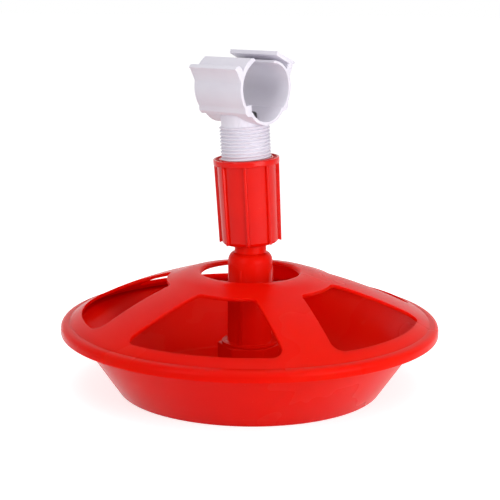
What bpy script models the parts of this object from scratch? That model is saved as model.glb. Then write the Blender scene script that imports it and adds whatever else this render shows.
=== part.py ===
"""Hanging chicken waterer: a red bowl with a spoked guard, a column with a spring valve in a
ribbed adjusting sleeve, and a white saddle that clips round a water pipe.

Metres, +Z up. The origin is the centre of the bowl's underside. Azimuths are turned about +Z from
the front (-Y) towards +X. The sleeve, the spring and the saddle lean together about the swing
pivot, so their heights are counted from the sleeve's bottom edge, along their own axis.
"""
import math

import bmesh
import bpy
from mathutils import Matrix, Vector

for old in list(bpy.data.objects):
    bpy.data.objects.remove(old, do_unlink=True)

# Running gaps between pieces that touch or seat on each other.
SEAT_GAP = 0.0003
SNAP_GAP = 0.0004

# How far a cutter runs past the face that it opens.
CUT_OVERRUN = 0.0010

# Facets around the large and the small round pieces.
LARGE_SIDES = 72
SMALL_SIDES = 36
TINY_SIDES = 20

# Bowl: a plain tapered basin with a flat base and a turned-out rim under the guard.
BASE_RADIUS = 0.0696
BASE_EDGE = 0.0014
BOWL_WALL = 0.0020
FLOOR_THICKNESS = 0.0022
RIM_UNDERSIDE = 0.0330
RIM_WIDTH = 0.0054
RIM_THICKNESS = 0.0021
BOSS_RADIUS = 0.0113
BOSS_WALL = 0.0023

# Guard: a crowned cover with five openings, snapped over the bowl's rim.
GUARD_RADIUS = 0.1000
GUARD_WALL = 0.0018
SKIRT_WALL = 0.0020
SKIRT_HEIGHT = 0.0055
SKIRT_BELOW_RIM = 0.0011
SKIRT_ROUND = 0.0030
SKIRT_ROUND_SWEEP = 72.0
SNAP_BEAD = 0.0008
GROOVE_INSET = 0.0047
GROOVE_DEPTH = 0.0004
GROOVE_SLOPE = 0.5
CROWN_INSET = 0.0064
CROWN_ABOVE_SKIRT = 0.0014
CROWN_BULGE = 0.0016
HUB_HOLE_RADIUS = 0.0258
HUB_LIP_WIDTH = 0.0040
HUB_LIP_DEPTH = 0.0021
HUB_LIP_FALL = 0.0001
HUB_BEAD_ROUND = 0.0008
HUB_TOP = 0.0631
HUB_SHOULDER_WIDTH = 0.0100
HUB_SHOULDER_DROP = 0.0012
HUB_WIDTH = 0.0152
HUB_DROP = 0.0031

# The five drinking openings and the spokes between them.
OPENING_COUNT = 5
OPENING_AZIMUTH = -16.4
OPENING_FROM_HUB = 0.0030
OPENING_FROM_CROWN = 0.0046
SPOKE_INNER_WIDTH = 0.0244
SPOKE_OUTER_WIDTH = 0.0254
INNER_CORNER = 0.0035
OUTER_CORNER = 0.0056

# Column: a hollow moulded post with a hexagon foot, a shoulder and a neck.
HEX_ACROSS_CORNERS = 0.0346
HEX_TOP = 0.0240
BOSS_BELOW_HEX = 0.0050
HEX_CHAMFER = 0.0007
HEX_TURN = -3.0
FLANGE_RADIUS = 0.01485
FLANGE_THICKNESS = 0.0015
FLANGE_EDGE = 0.0004
COLUMN_RADIUS = 0.01175
COLUMN_WALL = 0.0020
SOCKET_CLEARANCE = 0.0003
SHOULDER_START = 0.0687
SHOULDER_HEIGHT = 0.0050
SHOULDER_WEB = 0.0030
NECK_RADIUS = 0.00835
NECK_WALL = 0.0028
RIB_AZIMUTHS = (-26.0, 94.0, 214.0)
RIB_WIDTH = 0.0020
RIB_PROUD = 0.00035
RIB_SUNK = 0.0004
RIB_BELOW_SHOULDER = 0.0032

# Foot seal: the rubber ring between the bowl's boss and the column's socket.
FOOT_SEAL_THICKNESS = 0.0014

# Swing pivot: where the neck can rock in the sleeve's bottom wall.
PIVOT_ABOVE_SHOULDER = 0.0064
PIVOT_ABOVE_SLEEVE = 0.0015
LEAN_ANGLE = 3.43

# Adjusting sleeve, counted from its bottom edge.
SLEEVE_HEIGHT = 0.0452
SLEEVE_BOTTOM_WALL = 0.0030
NECK_SWING_GAP = 0.00085
SLEEVE_BOTTOM_ROUND = 0.0023
SLEEVE_WALL = 0.0020
SLEEVE_TAPER = 0.0007
SLEEVE_FLANGE_WIDTH = 0.0016
SLEEVE_FLANGE_HEIGHT = 0.0030
SLEEVE_FLANGE_EDGE = 0.0005
SLEEVE_CHAMBER_RADIUS = 0.0130
SLEEVE_CHAMBER_STEP = 0.0006
SLEEVE_COLLAR_WIDTH = 0.0010
SLEEVE_RIM_WIDTH = 0.0012
SLEEVE_RECESS_DEPTH = 0.0011
SLEEVE_RIBS = 8
SLEEVE_RIB_TURN = -3.5
SLEEVE_RIB_WIDTH = 0.0018
SLEEVE_RIB_PROUD = 0.0014
SLEEVE_RIB_SUNK = 0.0010
SLEEVE_RIB_END = 0.0006
SLEEVE_RIB_END_RISE = 0.0016

# Spring and the washers at its two ends.
WASHER_THICKNESS = 0.0008
SPRING_LENGTH = 0.0120
SPRING_WIRE = 0.0012
SPRING_INSET = 0.0007
SPRING_TURNS = 4.5
SPRING_FACETS = 14
LOWER_WASHER_CLEARANCE = 0.0005
HEAD_WASHER_CLEARANCE = 0.0005

# Column head: the flanged cap in the neck that the spring lifts.
HEAD_RADIUS = 0.0112
HEAD_EDGE = 0.0004
HEAD_THICKNESS = 0.0016
HEAD_BOSS_RADIUS = 0.0045
HEAD_BOSS_RISE = 0.0008
HEAD_BOSS_EDGE = 0.0008
HEAD_SHANK_LENGTH = 0.0110
HEAD_SHANK_EDGE = 0.0005

# Valve: a rod that lifts the poppet off the seat in the spigot's lower end.
VALVE_TRAVEL = 0.0040
ROD_RADIUS = 0.0015
ROD_SOCKET_DEPTH = 0.0050
ORIFICE_RADIUS = 0.0037
SEAT_THICKNESS = 0.0033
SEAT_RIM_WIDTH = 0.0012
SEAT_RIM_RISE = 0.0010
SEAT_RIM_FOOT = 0.0008
SEAT_SEAL_THICKNESS = 0.0007
SEAT_SEAL_PROUD = 0.0010
VALVE_GAP = 0.0006
POPPET_RADIUS = 0.0065
POPPET_THICKNESS = 0.0024
POPPET_EDGE = 0.0005
POPPET_HUB_RADIUS = 0.0032
POPPET_HUB_RISE = 0.0028
POPPET_HUB_EDGE = 0.0008
POPPET_WASHER_THICKNESS = 0.0013
POPPET_WASHER_INSET = 0.0002

# Spigot: the saddle's outlet, screwed into the sleeve.
SPIGOT_RADIUS = 0.01295
SPIGOT_WALL = 0.00255
SEAT_LEDGE_WIDTH = 0.0014
SLEEVE_RUNNING_GAP = 0.00035
SPIGOT_TOP_WEB = 0.0030
SPIGOT_BESIDE_TROUGH = 0.0050
OUTLET_RADIUS = 0.0045

# Saddle: a moulded section drawn along the pipe, with a jaw on each side.
SADDLE_TURN = 42.9
SADDLE_LENGTH = 0.0356
PIPE_ABOVE_SLEEVE = 0.0370
CLAMP_RADIUS = 0.0159
CLAMP_WALL = 0.0016

# Both jaws are carried by a strut that leaves the clamp's side.
STRUT_FOOT_ANGLE = 14.0

# Left jaw: a thick nose round the pipe, then a notch and the upright bar at the strut's head.
JAW_MOUTH_ANGLE = 23.5
JAW_NOSE = (0.0072, 0.0158)
JAW_BACK_WALL = 0.0024
JAW_BACK_TOP_ANGLE = 61.0
JAW_BACK_FOOT_ANGLE = 34.0
BAR_INNER_TOP = (0.0169, 0.0128)
BAR_OUTER_TOP = (0.0190, 0.0129)
BAR_TIP = (0.0205, 0.0115)
BAR_FOOT = (0.0194, 0.0103)

# Right jaw: a thin tongue that bends in round the pipe, under a plate on the strut's head.
TONGUE_RADIUS = 0.0106
TONGUE_START_ANGLE = 17.7
TONGUE_END_ANGLE = 83.0
TONGUE_ROOT_ANGLE = 33.0
TONGUE_WALL = 0.0013
PLATE_NOSE_FOOT = (0.0083, 0.0160)
PLATE_NOSE_TOP = (0.0090, 0.0179)
PLATE_TIP = (0.0212, 0.0112)
PLATE_TIP_HEIGHT = 0.0007
PLATE_THICKNESS = 0.0022
PLATE_NOSE_WIDTH = 0.0024
STRUT_HEAD_WIDTH = 0.0036
STRUT_HEAD = (0.0198, 0.0101)

# Trough: a rounded channel under the pipe, between two short shelves with a bead outside.
SHELF_BELOW_PIPE_CENTRE = 0.0112
TROUGH_RADIUS = 0.0115
TROUGH_BELOW_PIPE = 0.0014
BEAD_REACH = 0.0150
BEAD_BELOW_PIPE_CENTRE = 0.0130
BEAD_CHAMFER = 0.0016
BEAD_FOOT_FALL = 0.0004

# Stop lug: a short block inside the clamp, at the left of its front end.
LUG_LENGTH = 0.0030
LUG_REACH = 0.0104
LUG_BELOW_PIPE_CENTRE = 0.0074
LUG_SUNK = 0.0004
LUG_SET_BACK = 0.0002

# Saddle gasket: the rubber ring that seals round the hole drilled in the pipe.
GASKET_RADIUS = 0.0066
GASKET_RISE = 0.0007

# Finishes.
RED = (0.75, 0.012, 0.006)
RED_ROUGHNESS = 0.28
WHITE = (0.86, 0.84, 0.88)
WHITE_ROUGHNESS = 0.38
BLACK = (0.02, 0.02, 0.02)
BLACK_ROUGHNESS = 0.60
STEEL = (0.62, 0.62, 0.64)
STEEL_ROUGHNESS = 0.25

# What follows for the bowl and the guard.
SKIRT_INNER = GUARD_RADIUS - SKIRT_WALL
RIM_RADIUS = SKIRT_INNER - SNAP_GAP
WALL_TOP_RADIUS = RIM_RADIUS - RIM_WIDTH
WALL_SLOPE = (WALL_TOP_RADIUS - BASE_RADIUS) / RIM_UNDERSIDE
WALL_ACROSS = BOWL_WALL * math.hypot(1.0, WALL_SLOPE)
RIM_TOP = RIM_UNDERSIDE + RIM_THICKNESS
SKIRT_BOTTOM = RIM_UNDERSIDE - SKIRT_BELOW_RIM
SKIRT_TOP = SKIRT_BOTTOM + SKIRT_HEIGHT
GROOVE_RADIUS = GUARD_RADIUS - GROOVE_INSET
CROWN_OUTER = (GUARD_RADIUS - CROWN_INSET, SKIRT_TOP + CROWN_ABOVE_SKIRT)
CROWN_INNER = (HUB_HOLE_RADIUS + HUB_WIDTH, HUB_TOP - HUB_DROP)
HUB_SHOULDER = (HUB_HOLE_RADIUS + HUB_SHOULDER_WIDTH, HUB_TOP - HUB_SHOULDER_DROP)
OPENING_INNER_RADIUS = CROWN_INNER[0] + OPENING_FROM_HUB
OPENING_OUTER_RADIUS = CROWN_OUTER[0] - OPENING_FROM_CROWN

# What follows for the column.
BOSS_TOP = HEX_TOP - BOSS_BELOW_HEX
SOCKET_RADIUS = BOSS_RADIUS + SOCKET_CLEARANCE
SOCKET_TOP = BOSS_TOP + FOOT_SEAL_THICKNESS + 2.0 * SEAT_GAP
FLANGE_TOP = HEX_TOP + FLANGE_THICKNESS
SHOULDER_TOP = SHOULDER_START + SHOULDER_HEIGHT
RIB_TOP = SHOULDER_START - RIB_BELOW_SHOULDER
PIVOT_HEIGHT = SHOULDER_TOP + PIVOT_ABOVE_SHOULDER
NECK_BORE = NECK_RADIUS - NECK_WALL
COLUMN_BORE = COLUMN_RADIUS - COLUMN_WALL

# What follows for the sleeve, the spring and the valve.
SLEEVE_BORE = SPIGOT_RADIUS + SLEEVE_RUNNING_GAP
SLEEVE_BOTTOM_HOLE = NECK_RADIUS + NECK_SWING_GAP
SLEEVE_FOOT_RADIUS = SLEEVE_CHAMBER_RADIUS + SLEEVE_WALL
SLEEVE_HEAD_RADIUS = SLEEVE_FOOT_RADIUS + SLEEVE_TAPER
SLEEVE_FLANGE_RADIUS = SLEEVE_HEAD_RADIUS + SLEEVE_FLANGE_WIDTH
LOWER_WASHER_RADIUS = SLEEVE_CHAMBER_RADIUS - LOWER_WASHER_CLEARANCE
SPRING_MEAN_RADIUS = HEAD_RADIUS - SPRING_INSET
LOWER_WASHER_BOTTOM = SLEEVE_BOTTOM_WALL + SEAT_GAP
SPRING_BOTTOM = LOWER_WASHER_BOTTOM + WASHER_THICKNESS + SEAT_GAP
SPRING_TOP = SPRING_BOTTOM + SPRING_LENGTH
HEAD_WASHER_BOTTOM = SPRING_TOP + SEAT_GAP
NECK_TOP = HEAD_WASHER_BOTTOM + WASHER_THICKNESS
HEAD_BOTTOM = NECK_TOP + SEAT_GAP
HEAD_TOP = HEAD_BOTTOM + HEAD_THICKNESS
SPIGOT_BOTTOM = HEAD_TOP + HEAD_BOSS_RISE + SEAT_GAP
SEAT_TOP = SPIGOT_BOTTOM + SEAT_THICKNESS
SEAT_RIM_TOP = SEAT_TOP + SEAT_RIM_RISE
SEAT_LEDGE = SEAT_TOP + SEAT_SEAL_THICKNESS + 2.0 * SEAT_GAP
POPPET_WASHER_BOTTOM = SEAT_RIM_TOP + VALVE_TRAVEL + VALVE_GAP
POPPET_BOTTOM = POPPET_WASHER_BOTTOM + POPPET_WASHER_THICKNESS + SEAT_GAP

# What follows for the saddle.
SPIGOT_BORE = SPIGOT_RADIUS - SPIGOT_WALL
SPIGOT_UPPER_BORE = SPIGOT_BORE - SEAT_LEDGE_WIDTH
PIPE_CENTRE_HEIGHT = SLEEVE_HEIGHT + PIPE_ABOVE_SLEEVE
CLAMP_OUTER = CLAMP_RADIUS + CLAMP_WALL
TROUGH_DEPTH = CLAMP_RADIUS + TROUGH_BELOW_PIPE
TROUGH_CENTRE = TROUGH_RADIUS - TROUGH_DEPTH
TROUGH_BOTTOM = PIPE_CENTRE_HEIGHT - TROUGH_DEPTH
GASKET_TOP_RADIUS = CLAMP_RADIUS - GASKET_RISE
CUTTER_LENGTH = SADDLE_LENGTH + 2.0 * CUT_OVERRUN


def plastic(name, colour, roughness):
    """A plain moulded finish in one colour."""
    material = bpy.data.materials.new(name)
    material.use_nodes = True
    shader = material.node_tree.nodes["Principled BSDF"]
    shader.inputs["Base Color"].default_value = (*colour, 1.0)
    shader.inputs["Roughness"].default_value = roughness
    shader.inputs["Metallic"].default_value = 0.0
    return material


def metal(name, colour, roughness):
    """A bare metal finish in one colour."""
    material = plastic(name, colour, roughness)
    material.node_tree.nodes["Principled BSDF"].inputs["Metallic"].default_value = 1.0
    return material


def finish(obj, material, parent=None, location=(0.0, 0.0, 0.0)):
    """Give a piece its material, its smooth shading and its place under its carrier."""
    obj.data.materials.clear()
    obj.data.materials.append(material)
    if obj.type == "MESH":
        obj.data.shade_smooth()
        obj.data.set_sharp_from_angle(angle=math.radians(30.0))
    obj.parent = parent
    obj.location = location
    return obj


def mesh_object(name, bm):
    """Turn a bmesh into an object, with its faces pointing out."""
    bmesh.ops.remove_doubles(bm, verts=bm.verts, dist=1e-7)
    bmesh.ops.recalc_face_normals(bm, faces=bm.faces)
    mesh = bpy.data.meshes.new(name)
    bm.to_mesh(mesh)
    bm.free()
    obj = bpy.data.objects.new(name, mesh)
    bpy.context.collection.objects.link(obj)
    return obj


def turned(name, profile, sides):
    """Spin a closed (radius, height) outline about +Z; points on the axis become poles."""
    bm = bmesh.new()
    ring = [bm.verts.new((radius, 0.0, height)) for radius, height in profile]
    edges = [bm.edges.new((ring[i], ring[i - 1])) for i in range(len(ring))]
    bmesh.ops.spin(bm, geom=ring + edges, cent=(0.0, 0.0, 0.0), axis=(0.0, 0.0, 1.0),
                   angle=2.0 * math.pi, steps=sides, use_merge=True)
    bmesh.ops.remove_doubles(bm, verts=bm.verts, dist=1e-7)
    bmesh.ops.dissolve_degenerate(bm, edges=bm.edges, dist=1e-7)
    on_axis = [e for e in bm.edges if all(math.hypot(v.co.x, v.co.y) < 1e-7 for v in e.verts)]
    bmesh.ops.delete(bm, geom=on_axis, context="EDGES")
    return mesh_object(name, bm)


def drawn(name, outline, bottom, top):
    """Extrude a closed (x, y) outline from one height to another."""
    bm = bmesh.new()
    face = bm.faces.new([bm.verts.new((x, y, bottom)) for x, y in outline])
    lifted = bmesh.ops.extrude_face_region(bm, geom=[face])
    verts = [g for g in lifted["geom"] if isinstance(g, bmesh.types.BMVert)]
    bmesh.ops.translate(bm, verts=verts, vec=(0.0, 0.0, top - bottom))
    return mesh_object(name, bm)


def arc(centre, radius, start, end, steps):
    """Points on an arc in a plane; angles in degrees, from the first axis to the second."""
    points = []
    for step in range(steps + 1):
        angle = math.radians(start + (end - start) * step / steps)
        points.append((centre[0] + radius * math.cos(angle), centre[1] + radius * math.sin(angle)))
    return points


def bulged(start, end, bulge, steps):
    """Points from start to end on an arc that stands off its chord by the bulge."""
    chord = Vector(end) - Vector(start)
    side = Vector((chord.y, -chord.x)).normalized()
    if side.y < 0.0:
        side = -side
    points = []
    for step in range(steps + 1):
        share = step / steps
        lift = 4.0 * bulge * share * (1.0 - share)
        place = Vector(start) + chord * share + side * lift
        points.append((place.x, place.y))
    return points


def combine(obj, cutter, operation):
    """Apply a Boolean with another object, which is used up."""
    modifier = obj.modifiers.new(operation.lower(), "BOOLEAN")
    modifier.operation = operation
    modifier.object = cutter
    modifier.solver = "EXACT"
    bpy.context.view_layer.update()
    evaluated = obj.evaluated_get(bpy.context.evaluated_depsgraph_get())
    mesh = bpy.data.meshes.new_from_object(evaluated)
    obj.modifiers.remove(modifier)
    old = obj.data
    obj.data = mesh
    bpy.data.meshes.remove(old)
    mesh.name = obj.name
    bpy.data.objects.remove(cutter, do_unlink=True)
    return obj


def tube(name, outer, inner, bottom, top, sides):
    """A plain ring with a bore."""
    return turned(name, [(inner, bottom), (outer, bottom), (outer, top), (inner, top)], sides)


def turn_mesh(obj, matrix):
    """Turn or move a piece within its own mesh."""
    obj.data.transform(matrix)
    return obj


red_gloss = plastic("red_moulded_plastic", RED, RED_ROUGHNESS)
white_satin = plastic("white_moulded_plastic", WHITE, WHITE_ROUGHNESS)
black_rubber = plastic("black_rubber", BLACK, BLACK_ROUGHNESS)
spring_steel = metal("spring_steel", STEEL, STEEL_ROUGHNESS)


def wall_radius(height):
    """Outer radius of the basin's tapered wall at a height."""
    return BASE_RADIUS + WALL_SLOPE * height


def make_bowl():
    """One moulding: flat base, tapered wall, turned-out rim and the boss for the column."""
    boss_bore = BOSS_RADIUS - BOSS_WALL
    floor_radius = wall_radius(FLOOR_THICKNESS) - WALL_ACROSS
    lip_round = RIM_THICKNESS / 2.0
    profile = [(0.0, 0.0), (BASE_RADIUS - BASE_EDGE, 0.0)]
    profile += [(BASE_RADIUS - BASE_EDGE * 0.25, BASE_EDGE * 0.35), (wall_radius(BASE_EDGE), BASE_EDGE)]
    profile += [(wall_radius(RIM_UNDERSIDE), RIM_UNDERSIDE)]
    profile += arc((RIM_RADIUS - lip_round, RIM_TOP - lip_round), lip_round, -90.0, 90.0, 4)
    profile += [(wall_radius(RIM_TOP) - WALL_ACROSS, RIM_TOP)]
    profile += [(floor_radius + BASE_EDGE * WALL_SLOPE, FLOOR_THICKNESS + BASE_EDGE)]
    profile += [(floor_radius - BASE_EDGE, FLOOR_THICKNESS)]
    profile += [(BOSS_RADIUS, FLOOR_THICKNESS), (BOSS_RADIUS, BOSS_TOP)]
    profile += [(boss_bore, BOSS_TOP), (boss_bore, FLOOR_THICKNESS), (0.0, FLOOR_THICKNESS)]
    bowl = turned("bowl", profile, LARGE_SIDES)
    return finish(bowl, red_gloss)


def guard_top():
    """The guard's upper outline, from the skirt's lower edge to the hub's inner edge."""
    points = [(GUARD_RADIUS, SKIRT_BOTTOM)]
    round_centre = (GUARD_RADIUS - SKIRT_ROUND, SKIRT_TOP - SKIRT_ROUND)
    points += arc(round_centre, SKIRT_ROUND, 0.0, SKIRT_ROUND_SWEEP, 4)
    groove_height = CROWN_OUTER[1] - (GROOVE_RADIUS - CROWN_OUTER[0]) * GROOVE_SLOPE - GROOVE_DEPTH
    points += [(GROOVE_RADIUS, groove_height)]
    points += bulged(CROWN_OUTER, CROWN_INNER, CROWN_BULGE, 5)
    points += [HUB_SHOULDER]
    lip_middle = HUB_HOLE_RADIUS + HUB_LIP_WIDTH / 2.0
    points += [(HUB_HOLE_RADIUS + HUB_LIP_WIDTH, HUB_TOP - HUB_LIP_FALL), (lip_middle, HUB_TOP)]
    bead_centre = (HUB_HOLE_RADIUS + HUB_BEAD_ROUND, HUB_TOP - HUB_BEAD_ROUND)
    points += arc(bead_centre, HUB_BEAD_ROUND, 90.0, 180.0, 2)
    return points


def guard_under(top):
    """The underside: the same outline, one wall lower, from the hub back to the skirt."""
    hub_foot = HUB_TOP - HUB_LIP_DEPTH
    points = [(HUB_HOLE_RADIUS, hub_foot), (HUB_HOLE_RADIUS + GUARD_WALL, hub_foot)]
    crown = [p for p in top if HUB_SHOULDER[0] <= p[0] <= CROWN_OUTER[0]]
    slope = (CROWN_INNER[1] - CROWN_OUTER[1]) / (CROWN_OUTER[0] - CROWN_INNER[0])
    drop = GUARD_WALL * math.hypot(1.0, slope)
    points += [(HUB_HOLE_RADIUS + GUARD_WALL, HUB_TOP - drop)]
    points += [(radius, height - drop) for radius, height in reversed(crown)]
    ceiling = RIM_TOP + SNAP_GAP
    points += [(SKIRT_INNER, ceiling)]
    catch_top = RIM_UNDERSIDE - SNAP_GAP
    points += [(SKIRT_INNER, catch_top + SNAP_BEAD * 0.5), (SKIRT_INNER - SNAP_BEAD, catch_top)]
    points += [(SKIRT_INNER - SNAP_BEAD * 0.5, SKIRT_BOTTOM)]
    return points


def spoke_half_width(radius):
    """Half the width of a spoke at a radius."""
    share = (radius - OPENING_INNER_RADIUS) / (OPENING_OUTER_RADIUS - OPENING_INNER_RADIUS)
    return (SPOKE_INNER_WIDTH + (SPOKE_OUTER_WIDTH - SPOKE_INNER_WIDTH) * share) / 2.0


def opening_side():
    """The straight side of an opening, as a point and a direction, for an opening along +X."""
    half_pitch = math.pi / OPENING_COUNT
    ends = []
    for radius in (OPENING_INNER_RADIUS, OPENING_OUTER_RADIUS):
        angle = half_pitch - math.asin(spoke_half_width(radius) / radius)
        ends.append(Vector((radius * math.cos(angle), radius * math.sin(angle))))
    return ends[0], (ends[1] - ends[0]).normalized()


def corner_centre(point, direction, corner, reach):
    """Centre of a corner arc that touches the side and lies at a given distance from the axis."""
    inward = Vector((direction.y, -direction.x))
    start = point + inward * corner
    along = start.dot(direction)
    offset = math.sqrt(along * along - start.dot(start) + reach * reach)
    return start + direction * (offset - along)


def opening_outline():
    """A keystone with four round corners, for an opening along +X."""
    point, direction = opening_side()
    outer = corner_centre(point, direction, OUTER_CORNER, OPENING_OUTER_RADIUS - OUTER_CORNER)
    inner = corner_centre(point, direction, INNER_CORNER, OPENING_INNER_RADIUS + INNER_CORNER)
    outward = Vector((-direction.y, direction.x))
    side_angle = math.degrees(math.atan2(outward.y, outward.x))
    outer_angle = math.degrees(math.atan2(outer.y, outer.x))
    inner_angle = math.degrees(math.atan2(inner.y, inner.x)) + 180.0
    half = arc((0.0, 0.0), OPENING_OUTER_RADIUS, 0.0, outer_angle, 5)
    half += arc(outer, OUTER_CORNER, outer_angle, side_angle, 5)[1:]
    half += arc(inner, INNER_CORNER, side_angle, inner_angle, 3)
    half += arc((0.0, 0.0), OPENING_INNER_RADIUS, inner_angle - 180.0, 0.0, 3)[1:]
    return half + [(x, -y) for x, y in reversed(half[1:-1])]


def make_guard():
    """One moulding: crowned cover, hub ring and skirt, with the drinking openings cut through."""
    top = guard_top()
    guard = turned("guard", top + guard_under(top), LARGE_SIDES)
    cutters = bmesh.new()
    for index in range(OPENING_COUNT):
        azimuth = math.radians(OPENING_AZIMUTH + 360.0 * index / OPENING_COUNT - 90.0)
        blank = drawn("opening", opening_outline(), SKIRT_BOTTOM, HUB_TOP + GUARD_WALL)
        turn_mesh(blank, Matrix.Rotation(azimuth, 4, "Z"))
        cutters.from_mesh(blank.data)
        bpy.data.objects.remove(blank, do_unlink=True)
    combine(guard, mesh_object("openings", cutters), "DIFFERENCE")
    return finish(guard, red_gloss)


def shoulder_outline():
    """The round shoulder between the column and its neck, from the neck down."""
    points = []
    for angle in (90.0, 70.0, 50.0, 30.0, 10.0):
        turn = math.radians(angle)
        across = (COLUMN_RADIUS - NECK_RADIUS) * math.cos(turn)
        rise = (SHOULDER_TOP - SHOULDER_START) * math.sin(turn)
        points.append((NECK_RADIUS + across, SHOULDER_START + rise))
    return points


def make_column():
    """One moulding: hexagon foot with a socket, flange, hollow post, shoulder and hollow neck."""
    foot = FLOOR_THICKNESS + SEAT_GAP
    neck_top = PIVOT_HEIGHT + NECK_TOP - PIVOT_ABOVE_SLEEVE
    web_top = SHOULDER_START
    profile = [(SOCKET_RADIUS, foot), (FLANGE_RADIUS - FLANGE_EDGE, foot)]
    profile += [(FLANGE_RADIUS - FLANGE_EDGE, HEX_TOP), (FLANGE_RADIUS, HEX_TOP)]
    profile += [(FLANGE_RADIUS, FLANGE_TOP - FLANGE_EDGE), (FLANGE_RADIUS - FLANGE_EDGE, FLANGE_TOP)]
    profile += [(COLUMN_RADIUS, FLANGE_TOP)]
    profile += [(COLUMN_RADIUS, SHOULDER_START)] + list(reversed(shoulder_outline()))
    profile += [(NECK_RADIUS, neck_top), (NECK_BORE, neck_top), (NECK_BORE, web_top), (0.0, web_top)]
    profile += [(0.0, web_top - SHOULDER_WEB), (COLUMN_BORE, web_top - SHOULDER_WEB)]
    profile += [(COLUMN_BORE, SOCKET_TOP)]
    profile += [(SOCKET_RADIUS, SOCKET_TOP)]
    column = turned("column", profile, SMALL_SIDES)
    corner = HEX_ACROSS_CORNERS / 2.0
    hexagon = turned("hexagon", [(SOCKET_RADIUS, foot), (corner, foot), (corner, HEX_TOP - HEX_CHAMFER),
                                 (corner - HEX_CHAMFER, HEX_TOP), (SOCKET_RADIUS, HEX_TOP)], 6)
    turn_mesh(hexagon, Matrix.Rotation(math.radians(HEX_TURN), 4, "Z"))
    cleared = turned("socket", [(0.0, 0.0), (SOCKET_RADIUS, 0.0), (SOCKET_RADIUS, SOCKET_TOP),
                                (0.0, SOCKET_TOP)], SMALL_SIDES)
    combine(column, hexagon, "UNION")
    combine(column, cleared, "DIFFERENCE")
    ribs = bmesh.new()
    for azimuth in RIB_AZIMUTHS:
        spin = Matrix.Rotation(math.radians(azimuth), 4, "Z")
        inner = COLUMN_RADIUS - COLUMN_WALL / 2.0
        outer = COLUMN_RADIUS + RIB_PROUD
        rib_bottom = FLANGE_TOP - RIB_SUNK
        middle = Matrix.Translation((0.0, -(inner + outer) / 2.0, (rib_bottom + RIB_TOP) / 2.0))
        size = Matrix.Diagonal((RIB_WIDTH, outer - inner, RIB_TOP - rib_bottom, 1.0))
        bmesh.ops.create_cube(ribs, size=1.0, matrix=spin @ middle @ size)
    combine(column, mesh_object("ribs", ribs), "UNION")
    return finish(column, red_gloss)


def make_foot_seal():
    """Rubber ring squeezed between the boss and the top of the column's socket."""
    bottom = BOSS_TOP + SEAT_GAP
    seal = tube("foot_seal", BOSS_RADIUS, COLUMN_BORE, bottom, bottom + FOOT_SEAL_THICKNESS, SMALL_SIDES)
    return finish(seal, black_rubber)


def make_head(carrier, drop):
    """Flanged cap whose shank sits in the neck; its boss carries the valve rod."""
    shank = NECK_BORE - SEAT_GAP
    socket = ROD_RADIUS + SEAT_GAP
    shank_bottom = HEAD_BOTTOM - HEAD_SHANK_LENGTH
    boss_top = HEAD_TOP + HEAD_BOSS_RISE
    profile = [(0.0, shank_bottom), (shank - HEAD_SHANK_EDGE, shank_bottom)]
    profile += [(shank, shank_bottom + HEAD_SHANK_EDGE), (shank, HEAD_BOTTOM)]
    profile += [(HEAD_RADIUS, HEAD_BOTTOM), (HEAD_RADIUS, HEAD_TOP - HEAD_EDGE)]
    profile += [(HEAD_RADIUS - HEAD_EDGE, HEAD_TOP)]
    profile += [(HEAD_BOSS_RADIUS, HEAD_TOP), (HEAD_BOSS_RADIUS - HEAD_BOSS_EDGE, boss_top)]
    profile += [(socket, boss_top)]
    profile += [(socket, boss_top - ROD_SOCKET_DEPTH), (0.0, boss_top - ROD_SOCKET_DEPTH)]
    head = turned("column_head", profile, SMALL_SIDES)
    return finish(head, white_satin, carrier, drop)


def make_head_washer(carrier, drop):
    """Slip washer under the head's flange, on which the spring's top coil turns."""
    washer = tube("head_washer", HEAD_RADIUS, NECK_RADIUS + HEAD_WASHER_CLEARANCE,
                  HEAD_WASHER_BOTTOM, HEAD_WASHER_BOTTOM + WASHER_THICKNESS, SMALL_SIDES)
    return finish(washer, white_satin, carrier, drop)


def make_rod(carrier, drop):
    """Rod that stands in the head's boss and carries the poppet above the seat."""
    bottom = HEAD_TOP + HEAD_BOSS_RISE - ROD_SOCKET_DEPTH + SEAT_GAP
    top = POPPET_BOTTOM + POPPET_THICKNESS
    profile = [(0.0, bottom), (ROD_RADIUS, bottom), (ROD_RADIUS, top), (0.0, top)]
    rod = turned("valve_rod", profile, TINY_SIDES)
    return finish(rod, spring_steel, carrier, drop)


def make_poppet(carrier, drop):
    """Valve disc with a round hub, closed over the rod's upper end."""
    bore = ROD_RADIUS + SEAT_GAP
    disc_top = POPPET_BOTTOM + POPPET_THICKNESS
    hub_top = disc_top + POPPET_HUB_RISE
    profile = [(bore, POPPET_BOTTOM), (POPPET_RADIUS, POPPET_BOTTOM)]
    profile += [(POPPET_RADIUS, disc_top - POPPET_EDGE), (POPPET_RADIUS - POPPET_EDGE, disc_top)]
    profile += [(POPPET_HUB_RADIUS, disc_top), (POPPET_HUB_RADIUS, hub_top - POPPET_HUB_EDGE)]
    profile += [(POPPET_HUB_RADIUS - POPPET_HUB_EDGE, hub_top)]
    profile += [(0.0, hub_top), (0.0, disc_top + SEAT_GAP), (bore, disc_top + SEAT_GAP)]
    poppet = turned("poppet", profile, TINY_SIDES)
    return finish(poppet, white_satin, carrier, drop)


def make_poppet_washer(carrier, drop):
    """Rubber washer under the poppet that closes on the seat's rim."""
    washer = tube("poppet_washer", POPPET_RADIUS - POPPET_WASHER_INSET, ROD_RADIUS + SEAT_GAP,
                  POPPET_WASHER_BOTTOM, POPPET_WASHER_BOTTOM + POPPET_WASHER_THICKNESS, TINY_SIDES)
    return finish(washer, black_rubber, carrier, drop)


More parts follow.
